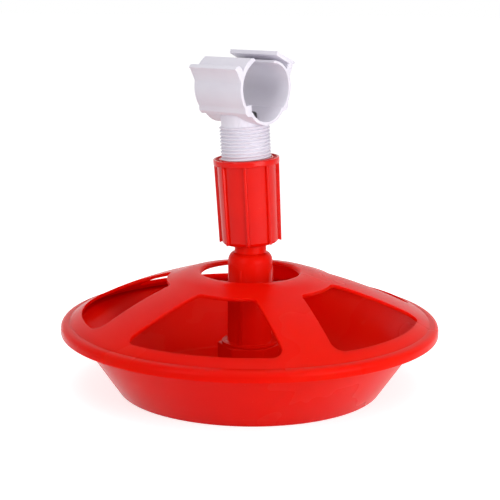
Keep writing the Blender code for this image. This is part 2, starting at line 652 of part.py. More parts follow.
def make_spring(carrier, drop):
    """Coil spring of round wire between the lower washer and the head washer."""
    curve = bpy.data.curves.new("valve_spring", "CURVE")
    curve.dimensions = "3D"
    curve.bevel_depth = SPRING_WIRE / 2.0
    curve.bevel_resolution = 1
    curve.use_fill_caps = True
    count = round(SPRING_TURNS * SPRING_FACETS) + 1
    spline = curve.splines.new("POLY")
    spline.points.add(count - 1)
    rise = SPRING_LENGTH - SPRING_WIRE
    for index, point in enumerate(spline.points):
        angle = 2.0 * math.pi * index / SPRING_FACETS
        height = SPRING_BOTTOM + SPRING_WIRE / 2.0 + rise * index / (count - 1)
        point.co = (SPRING_MEAN_RADIUS * math.cos(angle), SPRING_MEAN_RADIUS * math.sin(angle), height, 1.0)
    spring = bpy.data.objects.new("valve_spring", curve)
    bpy.context.collection.objects.link(spring)
    return finish(spring, spring_steel, carrier, drop)


def make_lower_washer(carrier, drop):
    """Slip washer on the sleeve's bottom wall, so that the sleeve can turn under the spring."""
    washer = tube("lower_washer", LOWER_WASHER_RADIUS, SLEEVE_BOTTOM_HOLE + SEAT_GAP,
                  LOWER_WASHER_BOTTOM, LOWER_WASHER_BOTTOM + WASHER_THICKNESS, SMALL_SIDES)
    return finish(washer, spring_steel, carrier, drop)


def make_sleeve(carrier, drop):
    """One moulding: a cup with a bored bottom, eight grip ribs and a grooved top flange."""
    flange_bottom = SLEEVE_HEIGHT - SLEEVE_FLANGE_HEIGHT
    recess = SLEEVE_HEIGHT - SLEEVE_RECESS_DEPTH
    foot = SLEEVE_FOOT_RADIUS - SLEEVE_BOTTOM_ROUND
    collar = SLEEVE_BORE + SLEEVE_COLLAR_WIDTH
    groove = SLEEVE_FLANGE_RADIUS - SLEEVE_RIM_WIDTH
    profile = [(SLEEVE_BOTTOM_HOLE, 0.0)]
    profile += arc((foot, SLEEVE_BOTTOM_ROUND), SLEEVE_BOTTOM_ROUND, -90.0, 0.0, 4)
    profile += [(SLEEVE_HEAD_RADIUS, flange_bottom), (SLEEVE_FLANGE_RADIUS, flange_bottom)]
    profile += [(SLEEVE_FLANGE_RADIUS, SLEEVE_HEIGHT - SLEEVE_FLANGE_EDGE)]
    profile += [(SLEEVE_FLANGE_RADIUS - SLEEVE_FLANGE_EDGE, SLEEVE_HEIGHT), (groove, SLEEVE_HEIGHT)]
    profile += [(groove, recess), (collar, recess), (collar, SLEEVE_HEIGHT), (SLEEVE_BORE, SLEEVE_HEIGHT)]
    profile += [(SLEEVE_BORE, SPIGOT_BOTTOM), (SLEEVE_CHAMBER_RADIUS, SPIGOT_BOTTOM - SLEEVE_CHAMBER_STEP)]
    profile += [(SLEEVE_CHAMBER_RADIUS, SLEEVE_BOTTOM_WALL), (SLEEVE_BOTTOM_HOLE, SLEEVE_BOTTOM_WALL)]
    sleeve = turned("sleeve", profile, SMALL_SIDES)
    ribs = bmesh.new()
    inner = SLEEVE_FOOT_RADIUS - SLEEVE_RIB_SUNK
    low = SLEEVE_FOOT_RADIUS + SLEEVE_RIB_PROUD
    high = SLEEVE_HEAD_RADIUS + SLEEVE_RIB_PROUD
    half = SLEEVE_RIB_WIDTH / 2.0
    top = flange_bottom + SLEEVE_FLANGE_HEIGHT / 3.0
    for index in range(SLEEVE_RIBS):
        spin = Matrix.Rotation(math.radians(SLEEVE_RIB_TURN + 360.0 * index / SLEEVE_RIBS), 3, "Z")
        side = [(-inner, SLEEVE_RIB_END + SLEEVE_RIB_END_RISE), (-low, SLEEVE_RIB_END)]
        side += [(-high, top), (-inner, top)]
        left = [ribs.verts.new(spin @ Vector((-half, y, z))) for y, z in side]
        right = [ribs.verts.new(spin @ Vector((half, y, z))) for y, z in side]
        ribs.faces.new(left)
        ribs.faces.new(list(reversed(right)))
        for corner in range(4):
            after = (corner + 1) % 4
            ribs.faces.new((left[corner], right[corner], right[after], left[after]))
    combine(sleeve, mesh_object("grip_ribs", ribs), "UNION")
    return finish(sleeve, red_gloss, carrier, drop)


def trough_arc(inset, depth):
    """The trough's round from right to left, below a depth under the pipe's centre."""
    radius = TROUGH_RADIUS - inset
    edge = math.degrees(math.asin((TROUGH_CENTRE + depth) / radius))
    return arc((0.0, TROUGH_CENTRE), radius, -edge, edge - 180.0, 10)


def left_jaw():
    """The left jaw from the clamp's inside to the strut's foot, drawn on the right side."""
    points = arc((0.0, 0.0), CLAMP_RADIUS, 0.0, 90.0 - JAW_MOUTH_ANGLE, 8) + [JAW_NOSE]
    back_radius = CLAMP_RADIUS + JAW_BACK_WALL
    points += arc((0.0, 0.0), back_radius, JAW_BACK_TOP_ANGLE, JAW_BACK_FOOT_ANGLE, 5)
    return points + [BAR_INNER_TOP, BAR_OUTER_TOP, BAR_TIP, BAR_FOOT]


def right_jaw():
    """The right jaw from the clamp's inside to the strut's foot."""
    start = math.radians(TONGUE_START_ANGLE)
    offset = CLAMP_RADIUS - TONGUE_RADIUS
    centre = (offset * math.cos(start), offset * math.sin(start))
    points = arc((0.0, 0.0), CLAMP_RADIUS, 0.0, TONGUE_START_ANGLE, 2)[:-1]
    points += arc(centre, TONGUE_RADIUS, TONGUE_START_ANGLE, TONGUE_END_ANGLE, 7)
    points += arc(centre, TONGUE_RADIUS + TONGUE_WALL, TONGUE_END_ANGLE, TONGUE_ROOT_ANGLE, 5)
    nose = Vector(PLATE_NOSE_TOP)
    tip = Vector(PLATE_TIP)
    fall = (tip - nose).normalized()
    under = Vector((fall.y, -fall.x)) * PLATE_THICKNESS
    points += [tuple(tip + under - fall * STRUT_HEAD_WIDTH), tuple(nose + under + fall * PLATE_NOSE_WIDTH)]
    points += [PLATE_NOSE_FOOT, PLATE_NOSE_TOP, PLATE_TIP, (PLATE_TIP[0], PLATE_TIP[1] - PLATE_TIP_HEIGHT)]
    return points + [STRUT_HEAD]


def saddle_half(jaw):
    """Right half of the section with one of the jaws, from the trough's inside to its outside."""
    shelf = SHELF_BELOW_PIPE_CENTRE
    shelf_angle = -math.degrees(math.asin(shelf / CLAMP_RADIUS))
    inside = [(x, y) for x, y in reversed(trough_arc(0.0, shelf)) if x >= -1e-9]
    inside += arc((0.0, 0.0), CLAMP_RADIUS, shelf_angle, 0.0, 5)[:-1]
    bead_angle = -math.degrees(math.acos(BEAD_REACH / CLAMP_OUTER))
    body = arc((0.0, 0.0), CLAMP_OUTER, STRUT_FOOT_ANGLE, bead_angle, 5)
    body += [(BEAD_REACH, BEAD_CHAMFER - BEAD_BELOW_PIPE_CENTRE)]
    body += [(BEAD_REACH - BEAD_CHAMFER, -BEAD_BELOW_PIPE_CENTRE)]
    bead_foot = BEAD_BELOW_PIPE_CENTRE + BEAD_FOOT_FALL
    body += [(x, y) for x, y in trough_arc(-CLAMP_WALL, bead_foot) if x >= -1e-9]
    return inside + jaw + body


def saddle_section():
    """The closed section, whose left half is drawn on the right side and turned over."""
    left = [(-x, y) for x, y in reversed(saddle_half(left_jaw())) if x > 1e-6]
    return saddle_half(right_jaw()) + left


def along_pipe(name, section, length, middle=0.0):
    """Draw a section along the pipe's axis; its middle is counted forward from the spigot."""
    obj = drawn(name, section, middle - length / 2.0, middle + length / 2.0)
    upright = Matrix.Rotation(math.radians(90.0), 4, "X")
    spin = Matrix.Rotation(math.radians(SADDLE_TURN), 4, "Z")
    lift = Matrix.Translation((0.0, 0.0, PIPE_CENTRE_HEIGHT))
    return turn_mesh(obj, lift @ spin @ upright)


def lug_section():
    """The stop lug's section, sunk in the clamp's wall and in the shelf."""
    radius = CLAMP_RADIUS + CLAMP_WALL / 2.0
    foot = SHELF_BELOW_PIPE_CENTRE + LUG_SUNK
    top_angle = 180.0 + math.degrees(math.asin(LUG_BELOW_PIPE_CENTRE / radius))
    foot_angle = 180.0 + math.degrees(math.asin(foot / radius))
    wall_side = arc((0.0, 0.0), radius, top_angle, foot_angle, 3)
    return wall_side + [(-LUG_REACH, -foot), (-LUG_REACH, -LUG_BELOW_PIPE_CENTRE)]


def channel_section(inset):
    """The space inside the trough, between the shelves, up to the middle of the pipe."""
    bed = trough_arc(inset, SHELF_BELOW_PIPE_CENTRE)
    return [(bed[0][0], 0.0)] + bed + [(bed[-1][0], 0.0)]


def make_saddle(carrier, drop):
    """One moulding: pipe clamp with its two jaws, a trough for the gasket, and the spigot."""
    clamp = along_pipe("pipe_saddle", saddle_section(), SADDLE_LENGTH)
    lug_middle = (SADDLE_LENGTH - LUG_LENGTH) / 2.0 - LUG_SET_BACK
    combine(clamp, along_pipe("lug", lug_section(), LUG_LENGTH, lug_middle), "UNION")
    top = TROUGH_BOTTOM + SPIGOT_BESIDE_TROUGH
    spigot = turned("spigot", [(0.0, SPIGOT_BOTTOM), (SPIGOT_RADIUS, SPIGOT_BOTTOM), (SPIGOT_RADIUS, top),
                               (0.0, top)], SMALL_SIDES)
    combine(spigot, along_pipe("channel", channel_section(0.0), CUTTER_LENGTH), "DIFFERENCE")
    combine(clamp, spigot, "UNION")
    web = TROUGH_BOTTOM - SPIGOT_TOP_WEB
    mouth = SPIGOT_BOTTOM - CUT_OVERRUN
    bore = turned("bore", [(0.0, mouth), (SPIGOT_BORE, mouth),
                           (SPIGOT_BORE, SEAT_LEDGE), (SPIGOT_UPPER_BORE, SEAT_LEDGE),
                           (SPIGOT_UPPER_BORE, web), (OUTLET_RADIUS, web),
                           (OUTLET_RADIUS, PIPE_CENTRE_HEIGHT), (0.0, PIPE_CENTRE_HEIGHT)], SMALL_SIDES)
    combine(clamp, bore, "DIFFERENCE")
    return finish(clamp, white_satin, carrier, drop)


def make_valve_seat(carrier, drop):
    """Plug in the spigot's lower end, with the orifice and the rim that the poppet closes on."""
    radius = SPIGOT_BORE - SEAT_GAP
    rim = ORIFICE_RADIUS + SEAT_RIM_WIDTH
    profile = [(ORIFICE_RADIUS, SPIGOT_BOTTOM), (radius, SPIGOT_BOTTOM), (radius, SEAT_TOP)]
    profile += [(rim + SEAT_RIM_FOOT, SEAT_TOP), (rim, SEAT_RIM_TOP), (ORIFICE_RADIUS, SEAT_RIM_TOP)]
    seat = turned("valve_seat", profile, SMALL_SIDES)
    return finish(seat, white_satin, carrier, drop)


def make_seat_seal(carrier, drop):
    """Rubber ring between the seat plug and the ledge in the spigot's bore."""
    bottom = SEAT_TOP + SEAT_GAP
    seal = tube("seat_seal", SPIGOT_BORE - SEAT_GAP, SPIGOT_UPPER_BORE - SEAT_SEAL_PROUD,
                bottom, bottom + SEAT_SEAL_THICKNESS, SMALL_SIDES)
    return finish(seal, black_rubber, carrier, drop)


def make_gasket(carrier, drop):
    """Rubber ring bedded in the saddle's trough, hollowed on top to fit the pipe."""
    bottom = TROUGH_BOTTOM - CUT_OVERRUN
    top = PIPE_CENTRE_HEIGHT - CUT_OVERRUN
    gasket = tube("saddle_gasket", GASKET_RADIUS, OUTLET_RADIUS, bottom, top, SMALL_SIDES)
    combine(gasket, along_pipe("bed", channel_section(SEAT_GAP), SADDLE_LENGTH), "INTERSECT")
    pipe = arc((0.0, 0.0), GASKET_TOP_RADIUS, 0.0, 360.0, LARGE_SIDES)[:-1]
    combine(gasket, along_pipe("pipe", pipe, CUTTER_LENGTH), "DIFFERENCE")
    return finish(gasket, black_rubber, carrier, drop)


make_bowl()
make_guard()
make_column()
make_foot_seal()

# The column's upright pieces are carried by an empty at the pivot, on the bowl's axis.
upright_axis = bpy.data.objects.new("upright_axis", None)
bpy.context.collection.objects.link(upright_axis)
upright_axis.location = (0.0, 0.0, PIVOT_HEIGHT)

# The leaning pieces are carried by an empty at the same point, tipped towards -X.
leaning_axis = bpy.data.objects.new("leaning_axis", None)
bpy.context.collection.objects.link(leaning_axis)
leaning_axis.location = (0.0, 0.0, PIVOT_HEIGHT)
leaning_axis.rotation_euler = (0.0, math.radians(-LEAN_ANGLE), 0.0)

from_sleeve_foot = (0.0, 0.0, -PIVOT_ABOVE_SLEEVE)
for make in (make_head, make_head_washer, make_rod, make_poppet, make_poppet_washer):
    make(upright_axis, from_sleeve_foot)
for make in (make_spring, make_lower_washer, make_sleeve, make_saddle, make_valve_seat,
             make_seat_seal, make_gasket):
    make(leaning_axis, from_sleeve_foot)
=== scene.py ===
"""A hanging poultry drinker: red moulded bowl, guard, column and sleeve under a white pipe saddle.

Metres, +Z up, the origin under the middle of the bowl. The front faces -Y. The file follows the
drinker from the floor up, one section to each piece.
"""
import math

import bpy
from mathutils import Matrix, Vector


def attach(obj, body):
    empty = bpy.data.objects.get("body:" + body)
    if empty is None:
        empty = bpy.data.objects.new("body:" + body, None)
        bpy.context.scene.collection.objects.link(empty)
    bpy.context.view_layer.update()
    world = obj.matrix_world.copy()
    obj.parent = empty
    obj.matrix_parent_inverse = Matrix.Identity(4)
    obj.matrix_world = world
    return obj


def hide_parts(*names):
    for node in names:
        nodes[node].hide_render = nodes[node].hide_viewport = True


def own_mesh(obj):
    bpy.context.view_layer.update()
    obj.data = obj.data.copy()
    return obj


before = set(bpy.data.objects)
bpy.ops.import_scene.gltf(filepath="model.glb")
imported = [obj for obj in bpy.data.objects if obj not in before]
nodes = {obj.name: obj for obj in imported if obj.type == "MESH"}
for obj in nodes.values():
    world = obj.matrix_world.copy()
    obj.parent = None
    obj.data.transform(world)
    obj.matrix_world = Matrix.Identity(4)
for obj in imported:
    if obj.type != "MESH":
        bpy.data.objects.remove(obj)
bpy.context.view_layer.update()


# The camera
# It stands 0.8 m in front of the bowl, a little above it, and looks slightly down on the rim.
# It is tilted half a degree to one side, as a hand-levelled camera is.
CAMERA_PLACE = (-0.0002, -0.8, 0.249)
CAMERA_PITCH = math.radians(12.31)
CAMERA_ROLL = math.radians(0.53)
SENSOR_WIDTH = 36.0
IMAGE_WIDTH = 500.0
FOCAL_LENGTH_IN_PIXELS = 1552.0

camera_data = bpy.data.cameras.new("camera")
camera_data.sensor_width = SENSOR_WIDTH
camera_data.lens = SENSOR_WIDTH * FOCAL_LENGTH_IN_PIXELS / IMAGE_WIDTH
camera = bpy.data.objects.new("camera", camera_data)
bpy.context.collection.objects.link(camera)
camera.matrix_world = (
    Matrix.Translation(CAMERA_PLACE)
    @ Matrix.Rotation(math.pi / 2.0 - CAMERA_PITCH, 4, "X")
    @ Matrix.Rotation(CAMERA_ROLL, 4, "Z")
)
bpy.context.scene.camera = camera


# The studio
# A white sheet lies under the drinker, and white walls stand round it. Large soft boxes hang to
# the left and overhead. A small one stands low on the right and draws the streak on the sleeve.
FLOOR_SIZE = 6.0
FLOOR_WHITE = (0.86, 0.86, 0.87)
FLOOR_GLOW = 0.66
ROOM_WHITE = (1.0, 1.0, 1.0)
ROOM_LEVEL = 0.44


def seen_directly(tree):
    """Is true for rays from the camera, for reflections and for what shows through glass."""
    path = tree.nodes.new("ShaderNodeLightPath")
    either = tree.nodes.new("ShaderNodeMath")
    either.operation = "MAXIMUM"
    tree.links.new(path.outputs["Is Camera Ray"], either.inputs[0])
    tree.links.new(path.outputs["Is Glossy Ray"], either.inputs[1])
    also = tree.nodes.new("ShaderNodeMath")
    also.operation = "MAXIMUM"
    tree.links.new(either.outputs["Value"], also.inputs[0])
    tree.links.new(path.outputs["Is Transmission Ray"], also.inputs[1])
    return also.outputs["Value"]


bpy.ops.object.select_all(action="DESELECT")
bpy.ops.mesh.primitive_plane_add(size=FLOOR_SIZE, location=(0.0, 0.0, -0.0001))
floor = bpy.context.object
floor.name = "floor"
sheet = bpy.data.materials.new("white_sheet")
sheet.use_nodes = True
tree = sheet.node_tree
tree.nodes.clear()
matte = tree.nodes.new("ShaderNodeBsdfDiffuse")
matte.inputs["Color"].default_value = (*FLOOR_WHITE, 1.0)
glow = tree.nodes.new("ShaderNodeEmission")
glow.inputs["Color"].default_value = (*ROOM_WHITE, 1.0)
level = tree.nodes.new("ShaderNodeMath")
level.operation = "MULTIPLY"
level.inputs[1].default_value = FLOOR_GLOW
tree.links.new(seen_directly(tree), level.inputs[0])
tree.links.new(level.outputs["Value"], glow.inputs["Strength"])
both = tree.nodes.new("ShaderNodeAddShader")
tree.links.new(matte.outputs["BSDF"], both.inputs[0])
tree.links.new(glow.outputs["Emission"], both.inputs[1])
output = tree.nodes.new("ShaderNodeOutputMaterial")
tree.links.new(both.outputs["Shader"], output.inputs["Surface"])
floor.data.materials.append(sheet)

world = bpy.data.worlds.new("studio")
bpy.context.scene.world = world
world.use_nodes = True
tree = world.node_tree
backdrop = tree.nodes["Background"]
backdrop.inputs["Color"].default_value = (*ROOM_WHITE, 1.0)
level = tree.nodes.new("ShaderNodeMapRange")
level.inputs["To Min"].default_value = ROOM_LEVEL
level.inputs["To Max"].default_value = 1.0
tree.links.new(seen_directly(tree), level.inputs["Value"])
tree.links.new(level.outputs["Result"], backdrop.inputs["Strength"])
bpy.context.scene.view_settings.view_transform = "Standard"

# place, width, height, power in watts
SOFT_BOXES = {
    "box_left": ((-0.75, -0.95, 0.50), 0.55, 0.80, 4.3),
    "box_right": ((0.336, -0.343, 0.152), 0.34, 0.29, 1.35),
    "box_overhead": ((0.0, -0.30, 1.20), 1.10, 1.10, 4.5),
}
AIM = Vector((0.0, 0.0, 0.12))

for name, (place, width, height, power) in SOFT_BOXES.items():
    lamp_data = bpy.data.lights.new(name, "AREA")
    lamp_data.shape = "RECTANGLE"
    lamp_data.size = width
    lamp_data.size_y = height
    lamp_data.energy = power
    lamp = bpy.data.objects.new(name, lamp_data)
    bpy.context.collection.objects.link(lamp)
    lamp.location = place
    lamp.rotation_euler = (AIM - Vector(place)).to_track_quat("-Z", "Y").to_euler()


# The bowl
# A tapered basin with a flat base, moulded in one shot of glossy red polypropylene. Its rim turns
# out to a flange for the guard, and a boss on its floor takes the column's foot.
BASE_RADIUS = 0.0696
WALL_TOP_RADIUS = 0.0922
RIM_UNDERSIDE = 0.0330
RIM_TOP = 0.0351
RIM_RADIUS = 0.0976
BOWL_WALL = 0.0024
FLOOR_TOP = 0.0022
BOSS_RADIUS = 0.0113
BOSS_BORE = 0.0090
BOSS_TOP = 0.0190
BOWL_EDGE = 0.0010
RED = (0.76, 0.006, 0.001)
RED_DEEP = (0.71, 0.004, 0.001)
RED_NIB = (0.80, 0.05, 0.03)
NIB_SCALE = 150.0
NIB_RADIUS = 0.055
NIB_HEIGHT = 1.5
RED_GLOSS = 0.04
RED_GLOW_REACH = (1.0, 0.04, 0.02)
RED_GLOW_DEPTH = 0.008
RED_GLOW = 1.0
RED_ROUGHNESS = (0.20, 0.30)
LARGE_STEPS = 192


def red_plastic(
    name, grain_scale, wear_scale, gloss=RED_GLOSS, roughness=RED_ROUGHNESS, glow=RED_GLOW
):
    """Glossy moulded plastic: uneven pigment, faint orange peel, small nibs and dull patches."""
    material = bpy.data.materials.new(name)
    material.use_nodes = True
    tree = material.node_tree
    links = tree.links
    shader = tree.nodes["Principled BSDF"]
    shader.inputs["IOR"].default_value = 1.49
    shader.inputs["Specular IOR Level"].default_value = gloss
    shader.inputs["Subsurface Weight"].default_value = glow
    shader.inputs["Subsurface Radius"].default_value = RED_GLOW_REACH
    shader.inputs["Subsurface Scale"].default_value = RED_GLOW_DEPTH
    place = tree.nodes.new("ShaderNodeTexCoord").outputs["Object"]

    clouds = tree.nodes.new("ShaderNodeTexNoise")
    clouds.inputs["Scale"].default_value = wear_scale
    clouds.inputs["Detail"].default_value = 3.0
    links.new(place, clouds.inputs["Vector"])
    pigment = tree.nodes.new("ShaderNodeValToRGB")
    pigment.color_ramp.interpolation = "EASE"
    pigment.color_ramp.elements[0].position = 0.35
    pigment.color_ramp.elements[0].color = (*RED_DEEP, 1.0)
    pigment.color_ramp.elements[1].position = 0.65
    pigment.color_ramp.elements[1].color = (*RED, 1.0)
    links.new(clouds.outputs["Fac"], pigment.inputs["Fac"])

    specks = tree.nodes.new("ShaderNodeTexVoronoi")
    specks.inputs["Scale"].default_value = NIB_SCALE
    links.new(place, specks.inputs["Vector"])
    nibs = tree.nodes.new("ShaderNodeMapRange")
    nibs.inputs["From Min"].default_value = 0.0
    nibs.inputs["From Max"].default_value = NIB_RADIUS
    nibs.inputs["To Min"].default_value = 1.0
    nibs.inputs["To Max"].default_value = 0.0
    links.new(specks.outputs["Distance"], nibs.inputs["Value"])
    paler = tree.nodes.new("ShaderNodeMix")
    paler.data_type = "RGBA"
    paler.inputs["B"].default_value = (*RED_NIB, 1.0)
    links.new(nibs.outputs["Result"], paler.inputs["Factor"])
    links.new(pigment.outputs["Color"], paler.inputs["A"])
    links.new(paler.outputs["Result"], shader.inputs["Base Color"])

    dull = tree.nodes.new("ShaderNodeMapRange")
    dull.interpolation_type = "SMOOTHSTEP"
    dull.inputs["From Min"].default_value = 0.3
    dull.inputs["From Max"].default_value = 0.7
    dull.inputs["To Min"].default_value = roughness[0]
    dull.inputs["To Max"].default_value = roughness[1]
    links.new(clouds.outputs["Fac"], dull.inputs["Value"])
    links.new(dull.outputs["Result"], shader.inputs["Roughness"])

    peel = tree.nodes.new("ShaderNodeTexNoise")
    peel.inputs["Scale"].default_value = grain_scale
    peel.inputs["Detail"].default_value = 2.0
    links.new(place, peel.inputs["Vector"])
    height = tree.nodes.new("ShaderNodeMath")
    height.operation = "MULTIPLY_ADD"
    height.inputs[1].default_value = NIB_HEIGHT
    links.new(nibs.outputs["Result"], height.inputs[0])
    links.new(peel.outputs["Fac"], height.inputs[2])
    bump = tree.nodes.new("ShaderNodeBump")
    bump.inputs["Strength"].default_value = 0.10
    bump.inputs["Distance"].default_value = 0.0002
    links.new(height.outputs["Value"], bump.inputs["Height"])
    links.new(bump.outputs["Normal"], shader.inputs["Normal"])
    return material


def trace(name, points):
    """Draws a line through points, as by hand: one loose vertex, then one extrusion a point."""
    bpy.ops.object.select_all(action="DESELECT")
    bpy.ops.mesh.primitive_plane_add(size=0.001, location=points[0])
    piece = bpy.context.object
    piece.name = name
    piece.data.name = name
    bpy.ops.object.transform_apply(location=True, rotation=True, scale=True)
    bpy.ops.object.mode_set(mode="EDIT")
    bpy.ops.mesh.select_mode(type="VERT")
    bpy.ops.mesh.merge(type="CENTER")
    for before, after in zip(points, points[1:]):
        step = Vector(after) - Vector(before)
        bpy.ops.mesh.extrude_vertices_move(TRANSFORM_OT_translate={"value": tuple(step)})
    bpy.ops.mesh.select_all(action="SELECT")
    return piece


def spin_round(name, profile, steps):
    """Turns a closed (radius, height) outline into a solid ring or bowl about the Z axis."""
    points = [(radius, 0.0, height) for radius, height in profile]
    piece = trace(name, points + points[:1])
    bpy.ops.mesh.spin(
        steps=steps, angle=2.0 * math.pi, center=(0.0, 0.0, 0.0), axis=(0.0, 0.0, 1.0)
    )
    bpy.ops.mesh.select_all(action="SELECT")
    bpy.ops.mesh.remove_doubles(threshold=0.000002)
    bpy.ops.mesh.dissolve_degenerate(threshold=0.000002)
    bpy.ops.mesh.normals_make_consistent(inside=False)
    bpy.ops.object.mode_set(mode="OBJECT")
    return piece


def round_edges(piece, width, segments=3, angle=32.0):
    """Breaks the sharp edges with a small round, applies it and shades the piece smooth."""
    bpy.ops.object.select_all(action="DESELECT")
    piece.select_set(True)
    bpy.context.view_layer.objects.active = piece
    bevel = piece.modifiers.new("round", "BEVEL")
    bevel.width = width
    bevel.segments = segments
    bevel.limit_method = "ANGLE"
    bevel.angle_limit = math.radians(angle)
    bpy.ops.object.modifier_apply(modifier=bevel.name)
    bpy.ops.object.shade_smooth_by_angle(angle=math.radians(angle))


def arc_points(centre, radius, start, end, steps):
    """Points on an arc, by angle in degrees from the first axis to the second."""
    points = []
    for step in range(steps + 1):
        angle = math.radians(start + (end - start) * step / steps)
        points.append((centre[0] + radius * math.cos(angle), centre[1] + radius * math.sin(angle)))
    return points


def paint(piece, material):
    """Gives a piece one material and nothing else."""
    piece.data.materials.clear()
    piece.data.materials.append(material)


wall_slope = (WALL_TOP_RADIUS - BASE_RADIUS) / RIM_UNDERSIDE
inner_foot = BASE_RADIUS + wall_slope * FLOOR_TOP - BOWL_WALL
inner_rim = BASE_RADIUS + wall_slope * RIM_TOP - BOWL_WALL
bowl_profile = [(0.0, 0.0), (BASE_RADIUS, 0.0), (WALL_TOP_RADIUS, RIM_UNDERSIDE)]
bowl_profile += [(RIM_RADIUS, RIM_UNDERSIDE), (RIM_RADIUS, RIM_TOP), (inner_rim, RIM_TOP)]
bowl_profile += [(inner_foot, FLOOR_TOP), (BOSS_RADIUS, FLOOR_TOP), (BOSS_RADIUS, BOSS_TOP)]
bowl_profile += [(BOSS_BORE, BOSS_TOP), (BOSS_BORE, FLOOR_TOP), (0.0, FLOOR_TOP)]
bowl = spin_round("bowl_basin", bowl_profile, LARGE_STEPS)
round_edges(bowl, BOWL_EDGE, segments=4)
paint(bowl, red_plastic("red_bowl_plastic", 700.0, 14.0))
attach(bowl, "bowl_body")
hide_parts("bowl")


# The guard
# A crowned cover of the same red plastic that snaps over the bowl's rim and keeps the birds' feet
# out. Five keystone openings leave broad spokes, and a smooth bead runs round the hub hole.
GUARD_RADIUS = 0.1000
GUARD_WALL = 0.0018
SKIRT_BOTTOM = 0.0319
SKIRT_ROUND = 0.0030
SKIRT_SHOULDER = 0.0374
SKIRT_INNER = 0.0980
CATCH_INNER = 0.0972
CATCH_TOP = 0.0326
CATCH_EASE = 0.0004
GROOVE_RADIUS = 0.0953
GROOVE_DEPTH = 0.0004
GROOVE_SLOPE = 0.5
GROOVE_LIP = (0.0008, 0.0001)
CROWN_OUTER = (0.0936, 0.0388)
CROWN_INNER = (0.0410, 0.0600)
CROWN_BULGE = 0.0016
HUB_FOOT = (0.0380, 0.0611)
HUB_SHOULDER = (0.0352, 0.0620)
HUB_SLOPE = (0.0325, 0.0625)
HUB_BROW = (0.0301, 0.0629)
HUB_BEAD_ROUND = 0.0018
HUB_HOLE_RADIUS = 0.0258
HUB_TOP = 0.0631
HUB_LIP_DEPTH = 0.0021
OPENING_COUNT = 5
OPENING_AZIMUTH = -16.4
OPENING_INNER_RADIUS = 0.0440
OPENING_OUTER_RADIUS = 0.0890
SPOKE_INNER_WIDTH = 0.0244
SPOKE_OUTER_WIDTH = 0.0254
INNER_CORNER = 0.0035
OUTER_CORNER = 0.0056
OPENING_MERGE = 0.00025
GUARD_EDGE = 0.0004


def prism(name, outline, start, end):
    """Draws a closed (x, y) outline and extrudes it up from one height to another."""
    piece = trace(name, [(x, y, start) for x, y in outline])
    bpy.ops.mesh.edge_face_add()
    bpy.ops.mesh.extrude_region_move(TRANSFORM_OT_translate={"value": (0.0, 0.0, end - start)})
    bpy.ops.mesh.select_all(action="SELECT")
    bpy.ops.mesh.normals_make_consistent(inside=False)
    bpy.ops.object.mode_set(mode="OBJECT")
    return piece


def cut_with(piece, cutter, operation):
    """Applies a Boolean with another object, which is used up."""
    bpy.ops.object.select_all(action="DESELECT")
    piece.select_set(True)
    bpy.context.view_layer.objects.active = piece
    cut = piece.modifiers.new("cut", "BOOLEAN")
    cut.operation = operation
    cut.solver = "EXACT"
    cut.object = cutter
    bpy.ops.object.modifier_apply(modifier=cut.name)
    bpy.data.objects.remove(cutter, do_unlink=True)


def crown_line(start, end, bulge, steps):
    """Points from start to end that stand off the straight line by the bulge in the middle."""
    chord = Vector(end) - Vector(start)
    lift = Vector((-chord.y, chord.x)).normalized()
    if lift.y < 0.0:
        lift = -lift
    points = []
    for step in range(steps + 1):
        share = step / steps
        spot = Vector(start) + chord * share + lift * bulge * 4.0 * share * (1.0 - share)
        points.append((spot.x, spot.y))
    return points


def opening_outline():
    """One drinking opening that faces +X, as a keystone with round corners."""
    half_pitch = math.pi / OPENING_COUNT
    ends = []
    for radius, width in (
        (OPENING_INNER_RADIUS, SPOKE_INNER_WIDTH),
        (OPENING_OUTER_RADIUS, SPOKE_OUTER_WIDTH),
    ):
        angle = half_pitch - math.asin(width / 2.0 / radius)
        ends.append(Vector((radius * math.cos(angle), radius * math.sin(angle))))
    side = (ends[1] - ends[0]).normalized()
    inward = Vector((side.y, -side.x))
    centres = []
    for corner, reach in (
        (OUTER_CORNER, OPENING_OUTER_RADIUS - OUTER_CORNER),
        (INNER_CORNER, OPENING_INNER_RADIUS + INNER_CORNER),
    ):
        start = ends[0] + inward * corner
        along = start.dot(side)
        centres.append(start + side * (math.sqrt(along**2 - start.dot(start) + reach**2) - along))
    outer, inner = centres
    side_angle = math.degrees(math.atan2(-inward.y, -inward.x))
    outer_angle = math.degrees(math.atan2(outer.y, outer.x))
    inner_angle = math.degrees(math.atan2(inner.y, inner.x)) + 180.0
    half = arc_points((0.0, 0.0), OPENING_OUTER_RADIUS, 0.0, outer_angle, 14)
    half += arc_points(outer, OUTER_CORNER, outer_angle, side_angle, 12)[1:]
    half += arc_points(inner, INNER_CORNER, side_angle, inner_angle, 8)
    half += arc_points((0.0, 0.0), OPENING_INNER_RADIUS, inner_angle - 180.0, 0.0, 8)[1:]
    return half + [(x, -y) for x, y in reversed(half[1:-1])]


